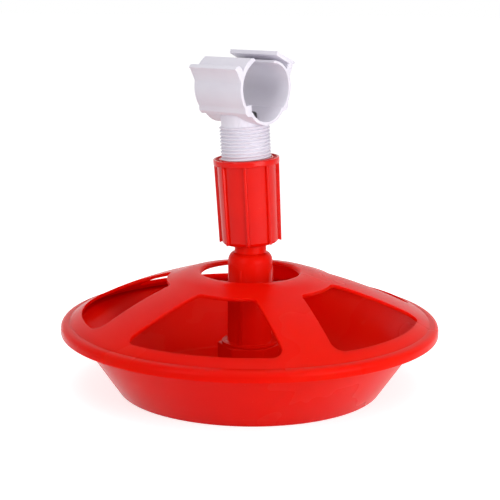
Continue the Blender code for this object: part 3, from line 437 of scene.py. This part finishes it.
groove_height = CROWN_OUTER[1] - (GROOVE_RADIUS - CROWN_OUTER[0]) * GROOVE_SLOPE - GROOVE_DEPTH
crown = crown_line(CROWN_OUTER, CROWN_INNER, CROWN_BULGE, 20)
guard_profile = [(GUARD_RADIUS, SKIRT_BOTTOM)]
skirt_centre = (GUARD_RADIUS - SKIRT_ROUND, SKIRT_SHOULDER - SKIRT_ROUND)
guard_profile += arc_points(skirt_centre, SKIRT_ROUND, 0.0, 80.0, 8)
guard_profile += [(GROOVE_RADIUS + GROOVE_LIP[0], groove_height + GROOVE_LIP[1])]
guard_profile += [(GROOVE_RADIUS, groove_height)] + crown
guard_profile += [HUB_FOOT, HUB_SHOULDER, HUB_SLOPE, HUB_BROW]
bead_centre = (HUB_HOLE_RADIUS + HUB_BEAD_ROUND, HUB_TOP - HUB_BEAD_ROUND)
guard_profile += arc_points(bead_centre, HUB_BEAD_ROUND, 90.0, 180.0, 6)
lip_height = HUB_TOP - HUB_LIP_DEPTH
guard_profile += [(HUB_HOLE_RADIUS, lip_height), (HUB_HOLE_RADIUS + GUARD_WALL, lip_height)]
crown_fall = (CROWN_INNER[1] - CROWN_OUTER[1]) / (CROWN_OUTER[0] - CROWN_INNER[0])
under_drop = GUARD_WALL * math.hypot(1.0, crown_fall)
guard_profile += [(HUB_HOLE_RADIUS + GUARD_WALL, HUB_TOP - under_drop)]
guard_profile += [(HUB_SHOULDER[0], HUB_SHOULDER[1] - under_drop)]
guard_profile += [(radius, height - under_drop) for radius, height in reversed(crown)]
guard_profile += [(SKIRT_INNER, RIM_TOP + CATCH_EASE), (SKIRT_INNER, CATCH_TOP + CATCH_EASE)]
guard_profile += [(CATCH_INNER, CATCH_TOP), (CATCH_INNER + CATCH_EASE, SKIRT_BOTTOM)]
guard = spin_round("guard_cover", guard_profile, LARGE_STEPS)

for index in range(OPENING_COUNT):
    azimuth = OPENING_AZIMUTH + 360.0 * index / OPENING_COUNT - 90.0
    opening = prism("opening_cutter", opening_outline(), SKIRT_BOTTOM, HUB_TOP)
    opening.data.transform(Matrix.Rotation(math.radians(azimuth), 4, "Z"))
    cut_with(guard, opening, "DIFFERENCE")

bpy.ops.object.mode_set(mode="EDIT")
bpy.ops.mesh.select_all(action="SELECT")
bpy.ops.mesh.remove_doubles(threshold=OPENING_MERGE)
bpy.ops.object.mode_set(mode="OBJECT")
round_edges(guard, GUARD_EDGE, segments=3, angle=38.0)
paint(guard, red_plastic("red_guard_plastic", 700.0, 11.0))
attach(guard, "bowl_body")
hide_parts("guard")


# The column
# A hollow red post that screws down over the bowl's boss by its hexagon foot. It has a round
# flange, three fine ribs, a shoulder and a slim neck that runs up into the sleeve.
HEX_ACROSS_CORNERS = 0.0346
HEX_BOTTOM = 0.0025
HEX_TOP = 0.0240
HEX_FLATS_BY_CORNERS = 0.866
HEX_EDGE = 0.0007
HEX_TURN = math.radians(-3.0)
FLANGE_RADIUS = 0.01485
FLANGE_TOP = 0.0255
FLANGE_EDGE = 0.0004
COLUMN_RADIUS = 0.01175
COLUMN_BORE = 0.00975
COLUMN_EDGE = 0.0003
SHOULDER_START = 0.0687
SHOULDER_TOP = 0.0737
SHOULDER_WALL = 0.003
SHOULDER_STEPS = 12
NECK_RADIUS = 0.00835
NECK_BORE = 0.00555
NECK_TOP = 0.0961
SOCKET_RADIUS = 0.0116
SOCKET_TOP = 0.0210
SOCKET_EASE = 1.02
RIB_AZIMUTHS = (-26.0, 94.0, 214.0)
RIB_WIDTH = 0.0020
RIB_PROUD = 0.00035
RIB_SUNK = 0.0008
RIB_TOP = 0.0655
RIB_EDGE = 0.00025
SMALL_STEPS = 96
COLUMN_GLOW = 0.1

red_column = red_plastic("red_column_plastic", 700.0, 30.0, glow=COLUMN_GLOW)
shoulder = []
for step in range(SHOULDER_STEPS + 1):
    angle = math.pi / 2.0 * step / SHOULDER_STEPS
    across = (COLUMN_RADIUS - NECK_RADIUS) * math.cos(angle)
    rise = (SHOULDER_TOP - SHOULDER_START) * math.sin(angle)
    shoulder.append((NECK_RADIUS + across, SHOULDER_START + rise))
under_flange = FLANGE_RADIUS - FLANGE_EDGE
under_shoulder = SHOULDER_START - SHOULDER_WALL
post_profile = [(SOCKET_RADIUS, HEX_BOTTOM), (under_flange, HEX_BOTTOM), (under_flange, HEX_TOP)]
post_profile += [(FLANGE_RADIUS, HEX_TOP), (FLANGE_RADIUS, FLANGE_TOP), (COLUMN_RADIUS, FLANGE_TOP)]
post_profile += shoulder + [(NECK_RADIUS, NECK_TOP), (NECK_BORE, NECK_TOP)]
post_profile += [(NECK_BORE, SHOULDER_START), (0.0, SHOULDER_START), (0.0, under_shoulder)]
post_profile += [(COLUMN_BORE, under_shoulder), (COLUMN_BORE, SOCKET_TOP)]
post_profile += [(SOCKET_RADIUS, SOCKET_TOP)]
post = spin_round("column_post", post_profile, SMALL_STEPS)
round_edges(post, COLUMN_EDGE)
paint(post, red_column)
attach(post, "bowl_body")
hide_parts("column")

bpy.ops.object.select_all(action="DESELECT")
bpy.ops.mesh.primitive_cylinder_add(
    vertices=6,
    radius=HEX_ACROSS_CORNERS / 2.0,
    depth=HEX_TOP - HEX_BOTTOM,
    location=(0.0, 0.0, (HEX_TOP + HEX_BOTTOM) / 2.0),
    rotation=(0.0, 0.0, HEX_TURN + math.pi / 2.0),
)
foot = bpy.context.object
foot.name = "column_foot"
bpy.ops.object.transform_apply(location=True, rotation=True, scale=True)
bpy.ops.object.mode_set(mode="EDIT")
bpy.ops.mesh.select_all(action="DESELECT")
bpy.ops.mesh.select_mode(type="FACE")
bpy.ops.object.mode_set(mode="OBJECT")
for face in foot.data.polygons:
    face.select = abs(face.normal.z) > 0.9
bpy.ops.object.mode_set(mode="EDIT")
foot_wall = HEX_ACROSS_CORNERS / 2.0 * HEX_FLATS_BY_CORNERS - SOCKET_RADIUS * SOCKET_EASE
bpy.ops.mesh.inset(thickness=foot_wall, depth=0.0)
bpy.ops.mesh.bridge_edge_loops()
bpy.ops.object.mode_set(mode="OBJECT")
round_edges(foot, HEX_EDGE, segments=3, angle=40.0)
paint(foot, red_column)
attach(foot, "bowl_body")


def copies_round(first, name, azimuths, place=Matrix.Identity(4)):
    """Copies a piece round the Z axis, each copy with its own mesh, and removes the first."""
    copies = []
    for index, azimuth in enumerate(azimuths):
        copy = first.copy()
        copy.data = first.data.copy()
        copy.name = f"{name}_{index + 1}"
        copy.data.name = copy.name
        bpy.context.collection.objects.link(copy)
        copy.data.transform(place @ Matrix.Rotation(math.radians(azimuth), 4, "Z"))
        copies.append(copy)
    bpy.data.objects.remove(first, do_unlink=True)
    return copies


rib_inner = COLUMN_RADIUS - RIB_SUNK
rib_outer = COLUMN_RADIUS + RIB_PROUD
bpy.ops.object.select_all(action="DESELECT")
bpy.ops.mesh.primitive_cube_add(
    size=1.0,
    location=(0.0, -(rib_inner + rib_outer) / 2.0, (FLANGE_TOP + RIB_TOP) / 2.0),
    scale=(RIB_WIDTH, rib_outer - rib_inner, RIB_TOP - FLANGE_TOP),
)
first_rib = bpy.context.object
bpy.ops.object.transform_apply(location=True, rotation=True, scale=True)
round_edges(first_rib, RIB_EDGE, segments=2)
for rib in copies_round(first_rib, "column_rib", RIB_AZIMUTHS):
    paint(rib, red_column)
    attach(rib, "bowl_body")


# The sleeve
# A ribbed red collar, turned by hand on the saddle's thread to set the water level. Its bottom
# wall holds the spring on the column's neck. It leans with the saddle.
PIVOT_HEIGHT = 0.0801
PIVOT_ABOVE_SLEEVE = 0.0015
LEAN_ANGLE = math.radians(3.43)
SLEEVE_HEIGHT = 0.0452
SLEEVE_BOTTOM_WALL = 0.0030
SLEEVE_BOTTOM_HOLE = 0.0092
SLEEVE_BOTTOM_ROUND = 0.0023
SLEEVE_FOOT_RADIUS = 0.0150
SLEEVE_HEAD_RADIUS = 0.0157
SLEEVE_FLANGE_RADIUS = 0.0173
SLEEVE_FLANGE_BOTTOM = 0.0422
SLEEVE_BORE = 0.0133
SLEEVE_CHAMBER = 0.0130
SLEEVE_BORE_BOTTOM = 0.0205
SLEEVE_BORE_STEP = 0.0006
SLEEVE_RECESS = 0.0011
SLEEVE_COLLAR = 0.0143
SLEEVE_GROOVE = 0.0161
SLEEVE_EDGE = 0.0003
GRIP_RIBS = 8
GRIP_RIB_TURN = -3.5
GRIP_RIB_CREST_WIDTH = 0.00156
GRIP_RIB_FOOT_WIDTH = 0.00213
GRIP_RIB_PROUD = 0.0014
GRIP_RIB_SUNK = 0.0012
GRIP_RIB_FOOT_SLOPE = 0.0010
GRIP_RIB_END = 0.0006
GRIP_RIB_EDGE = 0.00045
SLEEVE_GLOSS = 0.16
SLEEVE_GLOW = 0.25
SLEEVE_ROUGHNESS = (0.14, 0.20)

lean = (
    Matrix.Translation((0.0, 0.0, PIVOT_HEIGHT))
    @ Matrix.Rotation(-LEAN_ANGLE, 4, "Y")
    @ Matrix.Translation((0.0, 0.0, -PIVOT_ABOVE_SLEEVE))
)

red_sleeve = red_plastic(
    "red_sleeve_plastic", 800.0, 34.0, SLEEVE_GLOSS, SLEEVE_ROUGHNESS, SLEEVE_GLOW
)
foot_round = (SLEEVE_FOOT_RADIUS - SLEEVE_BOTTOM_ROUND, SLEEVE_BOTTOM_ROUND)
groove_bed = SLEEVE_HEIGHT - SLEEVE_RECESS
chamber_top = SLEEVE_BORE_BOTTOM - SLEEVE_BORE_STEP
sleeve_profile = [(SLEEVE_BOTTOM_HOLE, 0.0)]
sleeve_profile += arc_points(foot_round, SLEEVE_BOTTOM_ROUND, -90.0, 0.0, 8)
sleeve_profile += [(SLEEVE_HEAD_RADIUS, SLEEVE_FLANGE_BOTTOM)]
sleeve_profile += [(SLEEVE_FLANGE_RADIUS, SLEEVE_FLANGE_BOTTOM)]
sleeve_profile += [(SLEEVE_FLANGE_RADIUS, SLEEVE_HEIGHT)]
sleeve_profile += [(SLEEVE_GROOVE, SLEEVE_HEIGHT), (SLEEVE_GROOVE, groove_bed)]
sleeve_profile += [(SLEEVE_COLLAR, groove_bed), (SLEEVE_COLLAR, SLEEVE_HEIGHT)]
sleeve_profile += [(SLEEVE_BORE, SLEEVE_HEIGHT), (SLEEVE_BORE, SLEEVE_BORE_BOTTOM)]
sleeve_profile += [(SLEEVE_CHAMBER, chamber_top), (SLEEVE_CHAMBER, SLEEVE_BOTTOM_WALL)]
sleeve_profile += [(SLEEVE_BOTTOM_HOLE, SLEEVE_BOTTOM_WALL)]
sleeve = spin_round("sleeve_body", sleeve_profile, SMALL_STEPS)
round_edges(sleeve, SLEEVE_EDGE)
sleeve.data.transform(lean)
paint(sleeve, red_sleeve)
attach(sleeve, "sleeve_body")
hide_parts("sleeve")

bpy.ops.object.select_all(action="DESELECT")
bpy.ops.mesh.primitive_cube_add(size=1.0)
first_rib = bpy.context.object
for corner in first_rib.data.vertices:
    top = corner.co.z > 0.0
    outside = corner.co.y < 0.0
    wall = SLEEVE_HEAD_RADIUS if top else SLEEVE_FOOT_RADIUS
    reach = wall + GRIP_RIB_PROUD if outside else wall - GRIP_RIB_SUNK
    width = GRIP_RIB_CREST_WIDTH if outside else GRIP_RIB_FOOT_WIDTH
    foot_height = GRIP_RIB_END if outside else GRIP_RIB_END + GRIP_RIB_FOOT_SLOPE
    rise = SLEEVE_FLANGE_BOTTOM + GRIP_RIB_SUNK if top else foot_height
    corner.co = (math.copysign(width / 2.0, corner.co.x), -reach, rise)
round_edges(first_rib, GRIP_RIB_EDGE, segments=3)
rib_azimuths = [GRIP_RIB_TURN + 360.0 * index / GRIP_RIBS for index in range(GRIP_RIBS)]
for rib in copies_round(first_rib, "sleeve_rib", rib_azimuths, lean):
    paint(rib, red_sleeve)
    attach(rib, "sleeve_body")


# The pipe saddle
# A white moulding that clips up round a water pipe. A notched jaw with an upright bar stands on
# its left and a springy tongue under a plate on its right. The trough below the pipe takes the
# gasket, and a threaded spigot hangs under it for the sleeve.
SADDLE_TURN = math.radians(42.9)
SADDLE_LENGTH = 0.0356
PIPE_CENTRE = 0.0822
CLAMP_RADIUS = 0.0159
CLAMP_WALL = 0.0016
STRUT_FOOT_ANGLE = 14.0
JAW_MOUTH_ANGLE = 23.5
JAW_NOSE = (0.0072, 0.0158)
JAW_BACK_RADIUS = 0.0183
JAW_BACK_ANGLES = (61.0, 34.0)
LEFT_BAR = [(0.0169, 0.0128), (0.0190, 0.0129), (0.0205, 0.0115), (0.0194, 0.0103)]
TONGUE_RADIUS = 0.0106
TONGUE_START_ANGLE = 17.7
TONGUE_END_ANGLE = 83.0
TONGUE_ROOT_ANGLE = 33.0
TONGUE_WALL = 0.0013
PLATE_NOSE_FOOT = (0.0083, 0.0160)
PLATE_NOSE_TOP = (0.0090, 0.0179)
PLATE_TIP = (0.0212, 0.0112)
PLATE_TIP_FOOT = (0.0212, 0.0105)
PLATE_THICKNESS = 0.0022
PLATE_NOSE_WIDTH = 0.0024
STRUT_HEAD_WIDTH = 0.0036
STRUT_HEAD = (0.0198, 0.0101)
SHELF_DEPTH = 0.0112
TROUGH_RADIUS = 0.0115
TROUGH_DEPTH = 0.0173
TROUGH_CENTRE = TROUGH_RADIUS - TROUGH_DEPTH
BEAD_REACH = 0.0150
BEAD_DEPTH = 0.0130
BEAD_CHAMFER = 0.0016
BEAD_FOOT_FALL = 0.0004
LUG_LENGTH = 0.0030
LUG_REACH = 0.0104
LUG_DEPTH = 0.0074
LUG_SUNK = 0.0004
LUG_SET_BACK = 0.0001
SPIGOT_BOTTOM = 0.0205
SPIGOT_BORE = 0.0090
SPIGOT_BESIDE_TROUGH = 0.0050
SPIGOT_WEB = 0.003
SEAT_RADIUS = 0.0104
SEAT_HEIGHT = 0.0040
OUTLET_RADIUS = 0.0045
OUTLET_DRILL_LENGTH = 0.02
CLAMP_EDGE = 0.00028
LUG_EDGE = 0.0004
SPIGOT_EDGE = 0.0002
THREAD_PITCH = 0.001814
THREAD_CREST = 0.01322
THREAD_ROOT = 0.01215
THREAD_TOP = 0.0624
THREAD_TURNS = 20
THREAD_STEPS = 80
TOOTH_SUNK = 0.0003
TOOTH_FOOT_RISE = 0.0002
TOOTH_FLANK_FALL = 0.00018
TOOTH_CREST_FALL = 0.00004
WHITE = (0.76, 0.735, 0.81)
WHITE_SHADE = (0.96, 0.95, 0.96)
WHITE_GLOSS = 0.25
WHITE_ROUGHNESS = (0.34, 0.46)


def white_plastic(name, grain_scale):
    """Satin white moulded plastic: faint lavender cast, soft clouds and a fine grain."""
    material = bpy.data.materials.new(name)
    material.use_nodes = True
    tree = material.node_tree
    links = tree.links
    shader = tree.nodes["Principled BSDF"]
    shader.inputs["IOR"].default_value = 1.46
    shader.inputs["Specular IOR Level"].default_value = WHITE_GLOSS
    place = tree.nodes.new("ShaderNodeTexCoord").outputs["Object"]
    clouds = tree.nodes.new("ShaderNodeTexNoise")
    clouds.inputs["Scale"].default_value = 45.0
    clouds.inputs["Detail"].default_value = 3.0
    links.new(place, clouds.inputs["Vector"])
    tint = tree.nodes.new("ShaderNodeValToRGB")
    tint.color_ramp.elements[0].position = 0.35
    shaded = [white * shade for white, shade in zip(WHITE, WHITE_SHADE)]
    tint.color_ramp.elements[0].color = (*shaded, 1.0)
    tint.color_ramp.elements[1].position = 0.65
    tint.color_ramp.elements[1].color = (*WHITE, 1.0)
    links.new(clouds.outputs["Fac"], tint.inputs["Fac"])
    links.new(tint.outputs["Color"], shader.inputs["Base Color"])
    dull = tree.nodes.new("ShaderNodeMapRange")
    dull.inputs["To Min"].default_value = WHITE_ROUGHNESS[0]
    dull.inputs["To Max"].default_value = WHITE_ROUGHNESS[1]
    links.new(clouds.outputs["Fac"], dull.inputs["Value"])
    links.new(dull.outputs["Result"], shader.inputs["Roughness"])
    grain = tree.nodes.new("ShaderNodeTexNoise")
    grain.inputs["Scale"].default_value = grain_scale
    grain.inputs["Detail"].default_value = 2.0
    links.new(place, grain.inputs["Vector"])
    bump = tree.nodes.new("ShaderNodeBump")
    bump.inputs["Strength"].default_value = 0.12
    bump.inputs["Distance"].default_value = 0.0001
    links.new(grain.outputs["Fac"], bump.inputs["Height"])
    links.new(bump.outputs["Normal"], shader.inputs["Normal"])
    return material


def trough_arc(inset, depth):
    """The trough's round from right to left, below a depth under the pipe's centre."""
    radius = TROUGH_RADIUS - inset
    edge = math.degrees(math.asin((TROUGH_CENTRE + depth) / radius))
    return arc_points((0.0, TROUGH_CENTRE), radius, -edge, edge - 180.0, 28)


def left_jaw():
    """The left jaw, drawn on the right side: a thick nose, a notch and an upright bar."""
    points = arc_points((0.0, 0.0), CLAMP_RADIUS, 0.0, 90.0 - JAW_MOUTH_ANGLE, 26) + [JAW_NOSE]
    return points + arc_points((0.0, 0.0), JAW_BACK_RADIUS, *JAW_BACK_ANGLES, 12) + LEFT_BAR


def right_jaw():
    """The right jaw: a thin tongue round the pipe, under a plate on the strut's head."""
    start = math.radians(TONGUE_START_ANGLE)
    offset = CLAMP_RADIUS - TONGUE_RADIUS
    centre = (offset * math.cos(start), offset * math.sin(start))
    points = arc_points((0.0, 0.0), CLAMP_RADIUS, 0.0, TONGUE_START_ANGLE, 6)[:-1]
    points += arc_points(centre, TONGUE_RADIUS, TONGUE_START_ANGLE, TONGUE_END_ANGLE, 22)
    back_radius = TONGUE_RADIUS + TONGUE_WALL
    points += arc_points(centre, back_radius, TONGUE_END_ANGLE, TONGUE_ROOT_ANGLE, 16)
    nose = Vector(PLATE_NOSE_TOP)
    tip = Vector(PLATE_TIP)
    fall = (tip - nose).normalized()
    under = Vector((fall.y, -fall.x)) * PLATE_THICKNESS
    points += [tuple(tip + under - fall * STRUT_HEAD_WIDTH)]
    points += [tuple(nose + under + fall * PLATE_NOSE_WIDTH)]
    return points + [PLATE_NOSE_FOOT, PLATE_NOSE_TOP, PLATE_TIP, PLATE_TIP_FOOT, STRUT_HEAD]


def saddle_half(jaw):
    """Half of the section with one of the jaws, from the trough's inside to its outside."""
    shelf_angle = -math.degrees(math.asin(SHELF_DEPTH / CLAMP_RADIUS))
    inside = [(x, y) for x, y in reversed(trough_arc(0.0, SHELF_DEPTH)) if x >= -1e-9]
    inside += arc_points((0.0, 0.0), CLAMP_RADIUS, shelf_angle, 0.0, 18)[:-1]
    outer_radius = CLAMP_RADIUS + CLAMP_WALL
    bead_angle = -math.degrees(math.acos(BEAD_REACH / outer_radius))
    body = arc_points((0.0, 0.0), outer_radius, STRUT_FOOT_ANGLE, bead_angle, 16)
    body += [(BEAD_REACH, BEAD_CHAMFER - BEAD_DEPTH), (BEAD_REACH - BEAD_CHAMFER, -BEAD_DEPTH)]
    body += [(x, y) for x, y in trough_arc(-CLAMP_WALL, BEAD_DEPTH + BEAD_FOOT_FALL) if x >= -1e-9]
    return inside + jaw + body


def saddle_section():
    """The saddle's section across the pipe, as one closed outline."""
    left = [(-x, y) for x, y in reversed(saddle_half(left_jaw())) if x > 1e-6]
    return saddle_half(right_jaw()) + left


def lug_section():
    """The stop lug inside the clamp, sunk in its wall and in the shelf."""
    radius = CLAMP_RADIUS + CLAMP_WALL / 2.0
    top = 180.0 + math.degrees(math.asin(LUG_DEPTH / radius))
    foot = 180.0 + math.degrees(math.asin((SHELF_DEPTH + LUG_SUNK) / radius))
    wall_side = arc_points((0.0, 0.0), radius, top, foot, 6)
    return wall_side + [(-LUG_REACH, -SHELF_DEPTH - LUG_SUNK), (-LUG_REACH, -LUG_DEPTH)]


def channel_section(inset):
    """The space inside the trough, up to the middle of the pipe."""
    bed = trough_arc(inset, SHELF_DEPTH)
    return [(bed[0][0], 0.0)] + bed + [(bed[-1][0], 0.0)]


def coil(name, corners, pitch, turns, steps):
    """Winds a closed (x, y, z) outline round the Z axis as a right-hand screw with closed ends."""
    piece = trace(name, corners + corners[:1])
    bpy.ops.mesh.remove_doubles(threshold=0.00001)
    bpy.ops.object.mode_set(mode="OBJECT")
    helix = piece.modifiers.new("helix", "SCREW")
    helix.axis = "Z"
    helix.angle = 2.0 * math.pi * turns / max(1, int(turns))
    helix.screw_offset = pitch * turns / max(1, int(turns))
    helix.iterations = int(turns)
    helix.steps = steps
    helix.render_steps = steps
    helix.use_merge_vertices = False
    bpy.ops.object.modifier_apply(modifier=helix.name)
    bpy.ops.object.mode_set(mode="EDIT")
    bpy.ops.mesh.select_all(action="DESELECT")
    bpy.ops.mesh.select_mode(type="EDGE")
    bpy.ops.mesh.select_non_manifold(extend=False)
    bpy.ops.mesh.edge_face_add()
    bpy.ops.mesh.select_all(action="SELECT")
    bpy.ops.mesh.normals_make_consistent(inside=False)
    bpy.ops.object.mode_set(mode="OBJECT")
    bpy.ops.object.shade_smooth_by_angle(angle=math.radians(60.0))
    return piece


white_saddle = white_plastic("white_saddle_plastic", 900.0)
along = (
    Matrix.Translation((0.0, 0.0, PIPE_CENTRE))
    @ Matrix.Rotation(SADDLE_TURN, 4, "Z")
    @ Matrix.Rotation(math.pi / 2.0, 4, "X")
)
saddle_end = SADDLE_LENGTH / 2.0
clamp = prism("saddle_clamp", saddle_section(), -saddle_end, saddle_end)
bpy.ops.object.select_all(action="DESELECT")
bpy.ops.mesh.primitive_cylinder_add(
    vertices=64,
    radius=OUTLET_RADIUS,
    depth=OUTLET_DRILL_LENGTH,
    location=(0.0, -TROUGH_DEPTH, 0.0),
    rotation=(math.pi / 2.0, 0.0, 0.0),
)
drill = bpy.context.object
bpy.ops.object.transform_apply(location=True, rotation=True, scale=True)
cut_with(clamp, drill, "DIFFERENCE")
lug = prism("stop_lug", lug_section(), saddle_end - LUG_LENGTH, saddle_end - LUG_SET_BACK)
for piece, width in ((clamp, CLAMP_EDGE), (lug, LUG_EDGE)):
    round_edges(piece, width, segments=3, angle=35.0)
    piece.data.transform(lean @ along)
    paint(piece, white_saddle)
    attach(piece, "saddle_body")
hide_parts("pipe_saddle")

spigot_top = PIPE_CENTRE - TROUGH_DEPTH + SPIGOT_BESIDE_TROUGH
web = PIPE_CENTRE - TROUGH_DEPTH - SPIGOT_WEB
seat = SPIGOT_BOTTOM + SEAT_HEIGHT
spigot_profile = [(SPIGOT_BORE, seat), (SEAT_RADIUS, seat), (SEAT_RADIUS, SPIGOT_BOTTOM)]
spigot_profile += [(THREAD_ROOT, SPIGOT_BOTTOM), (THREAD_ROOT, spigot_top)]
spigot_profile += [(OUTLET_RADIUS, spigot_top), (OUTLET_RADIUS, web), (SPIGOT_BORE, web)]
spigot = spin_round("saddle_spigot", spigot_profile, SMALL_STEPS)
channel = prism("channel", channel_section(-CLAMP_WALL / 3.0), -SADDLE_LENGTH, SADDLE_LENGTH)
channel.data.transform(along)
cut_with(spigot, channel, "DIFFERENCE")
round_edges(spigot, SPIGOT_EDGE, segments=2)
spigot.data.transform(lean)
paint(spigot, white_saddle)
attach(spigot, "saddle_body")

thread_start = THREAD_TOP - THREAD_TURNS * THREAD_PITCH
# one tooth: how far out, and where along the pitch
half_tooth = [(THREAD_ROOT - TOOTH_SUNK, 0.46), (THREAD_ROOT + TOOTH_FOOT_RISE, 0.40)]
half_tooth += [(THREAD_CREST - TOOTH_FLANK_FALL, 0.16), (THREAD_CREST - TOOTH_CREST_FALL, 0.09)]
tooth = [(radius, -share) for radius, share in half_tooth]
tooth += [(THREAD_CREST, 0.0)] + half_tooth[::-1]
corners = [(radius, 0.0, thread_start + share * THREAD_PITCH) for radius, share in tooth]
thread = coil("saddle_thread", corners, THREAD_PITCH, THREAD_TURNS, THREAD_STEPS)
thread.data.transform(lean)
paint(thread, white_saddle)
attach(thread, "saddle_body")


# The gasket
# A black rubber ring bedded in the trough, hollowed on top to fit the pipe. It seals round the
# hole that is drilled in the pipe.
GASKET_RADIUS = 0.0066
GASKET_GAP = 0.0003
GASKET_TOP = 0.0152
GASKET_SPARE = 0.001
GASKET_EDGE = 0.0002
PIPE_STUB_LENGTH = 0.05
BLACK = (0.018, 0.018, 0.019)
BLACK_BLOOM = 2.2
RUBBER_ROUGHNESS = (0.55, 0.75)


def black_rubber(name):
    """Matte moulded rubber: soft grey bloom and a fine pitted skin."""
    material = bpy.data.materials.new(name)
    material.use_nodes = True
    tree = material.node_tree
    links = tree.links
    shader = tree.nodes["Principled BSDF"]
    place = tree.nodes.new("ShaderNodeTexCoord").outputs["Object"]
    bloom = tree.nodes.new("ShaderNodeTexNoise")
    bloom.inputs["Scale"].default_value = 180.0
    bloom.inputs["Detail"].default_value = 4.0
    links.new(place, bloom.inputs["Vector"])
    tint = tree.nodes.new("ShaderNodeValToRGB")
    tint.color_ramp.elements[0].position = 0.4
    tint.color_ramp.elements[0].color = (*BLACK, 1.0)
    tint.color_ramp.elements[1].position = 0.75
    tint.color_ramp.elements[1].color = (*(black * BLACK_BLOOM for black in BLACK), 1.0)
    links.new(bloom.outputs["Fac"], tint.inputs["Fac"])
    links.new(tint.outputs["Color"], shader.inputs["Base Color"])
    dull = tree.nodes.new("ShaderNodeMapRange")
    dull.inputs["To Min"].default_value = RUBBER_ROUGHNESS[0]
    dull.inputs["To Max"].default_value = RUBBER_ROUGHNESS[1]
    links.new(bloom.outputs["Fac"], dull.inputs["Value"])
    links.new(dull.outputs["Result"], shader.inputs["Roughness"])
    pits = tree.nodes.new("ShaderNodeTexNoise")
    pits.inputs["Scale"].default_value = 2600.0
    links.new(place, pits.inputs["Vector"])
    bump = tree.nodes.new("ShaderNodeBump")
    bump.inputs["Strength"].default_value = 0.25
    bump.inputs["Distance"].default_value = 0.0001
    links.new(pits.outputs["Fac"], bump.inputs["Height"])
    links.new(bump.outputs["Normal"], shader.inputs["Normal"])
    return material


# a plain ring with something to spare, which the trough and the pipe then trim
ring_foot = PIPE_CENTRE - TROUGH_DEPTH - GASKET_SPARE
ring_top = PIPE_CENTRE - GASKET_SPARE
ring = [(OUTLET_RADIUS, ring_foot), (GASKET_RADIUS, ring_foot)]
ring += [(GASKET_RADIUS, ring_top), (OUTLET_RADIUS, ring_top)]
gasket = spin_round("gasket_ring", ring, 72)
bed = prism("bed", channel_section(GASKET_GAP), -SADDLE_LENGTH, SADDLE_LENGTH)
bed.data.transform(along)
cut_with(gasket, bed, "INTERSECT")
bpy.ops.object.select_all(action="DESELECT")
bpy.ops.mesh.primitive_cylinder_add(vertices=128, radius=GASKET_TOP, depth=PIPE_STUB_LENGTH)
pipe = bpy.context.object
pipe.data.transform(along)
cut_with(gasket, pipe, "DIFFERENCE")
round_edges(gasket, GASKET_EDGE, segments=2)
gasket.data.transform(lean)
rubber = black_rubber("black_gasket_rubber")
paint(gasket, rubber)
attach(gasket, "saddle_body")
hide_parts("saddle_gasket")


# The valve spring
# A short coil of bright drawn wire round the column's neck, between the lower washer and the head
# washer. It shortens towards the head as the bowl fills and sinks.
SPRING_BOTTOM = 0.0044
SPRING_TOP = 0.0164
SPRING_WIRE = 0.0012
SPRING_MEAN_RADIUS = 0.0105
SPRING_TURNS = 4.5
SPRING_STEPS = 36
STEEL_DARK = (0.50, 0.50, 0.52)
STEEL_BRIGHT = (0.68, 0.68, 0.70)
STEEL_ROUGHNESS = (0.18, 0.34)


def steel(name):
    """Bright drawn spring steel with a fine mottle in its tone and roughness."""
    material = bpy.data.materials.new(name)
    material.use_nodes = True
    tree = material.node_tree
    links = tree.links
    shader = tree.nodes["Principled BSDF"]
    shader.inputs["Metallic"].default_value = 1.0
    place = tree.nodes.new("ShaderNodeTexCoord").outputs["Object"]
    streaks = tree.nodes.new("ShaderNodeTexNoise")
    streaks.inputs["Scale"].default_value = 1500.0
    streaks.inputs["Detail"].default_value = 3.0
    links.new(place, streaks.inputs["Vector"])
    tint = tree.nodes.new("ShaderNodeValToRGB")
    tint.color_ramp.elements[0].color = (*STEEL_DARK, 1.0)
    tint.color_ramp.elements[1].color = (*STEEL_BRIGHT, 1.0)
    links.new(streaks.outputs["Fac"], tint.inputs["Fac"])
    links.new(tint.outputs["Color"], shader.inputs["Base Color"])
    dull = tree.nodes.new("ShaderNodeMapRange")
    dull.inputs["To Min"].default_value = STEEL_ROUGHNESS[0]
    dull.inputs["To Max"].default_value = STEEL_ROUGHNESS[1]
    links.new(streaks.outputs["Fac"], dull.inputs["Value"])
    links.new(dull.outputs["Result"], shader.inputs["Roughness"])
    return material


bright_steel = steel("bright_spring_steel")
wire_centre = (SPRING_MEAN_RADIUS, SPRING_BOTTOM + SPRING_WIRE / 2.0)
wire = [(x, 0.0, z) for x, z in arc_points(wire_centre, SPRING_WIRE / 2.0, 0.0, 360.0, 14)[:-1]]
spring_pitch = (SPRING_TOP - SPRING_BOTTOM - SPRING_WIRE) / SPRING_TURNS
spring = coil("spring_coil", wire, spring_pitch, SPRING_TURNS, SPRING_STEPS)
spring.data.transform(lean)
paint(spring, bright_steel)
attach(spring, "spring_body")
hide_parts("valve_spring")
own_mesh(spring)


# The valve inside
# What the sleeve hides: the flanged head in the neck, its rod and poppet, the seat in the
# spigot, the seals, and the washers above and below the spring.
inner_finishes = {
    "foot_seal": rubber,
    "poppet_washer": rubber,
    "seat_seal": rubber,
    "column_head": white_saddle,
    "head_washer": white_saddle,
    "poppet": white_saddle,
    "valve_seat": white_saddle,
    "valve_rod": bright_steel,
    "lower_washer": bright_steel,
}
for name, material in inner_finishes.items():
    inner_piece = nodes[name]
    for slot in inner_piece.material_slots:
        slot.material = material
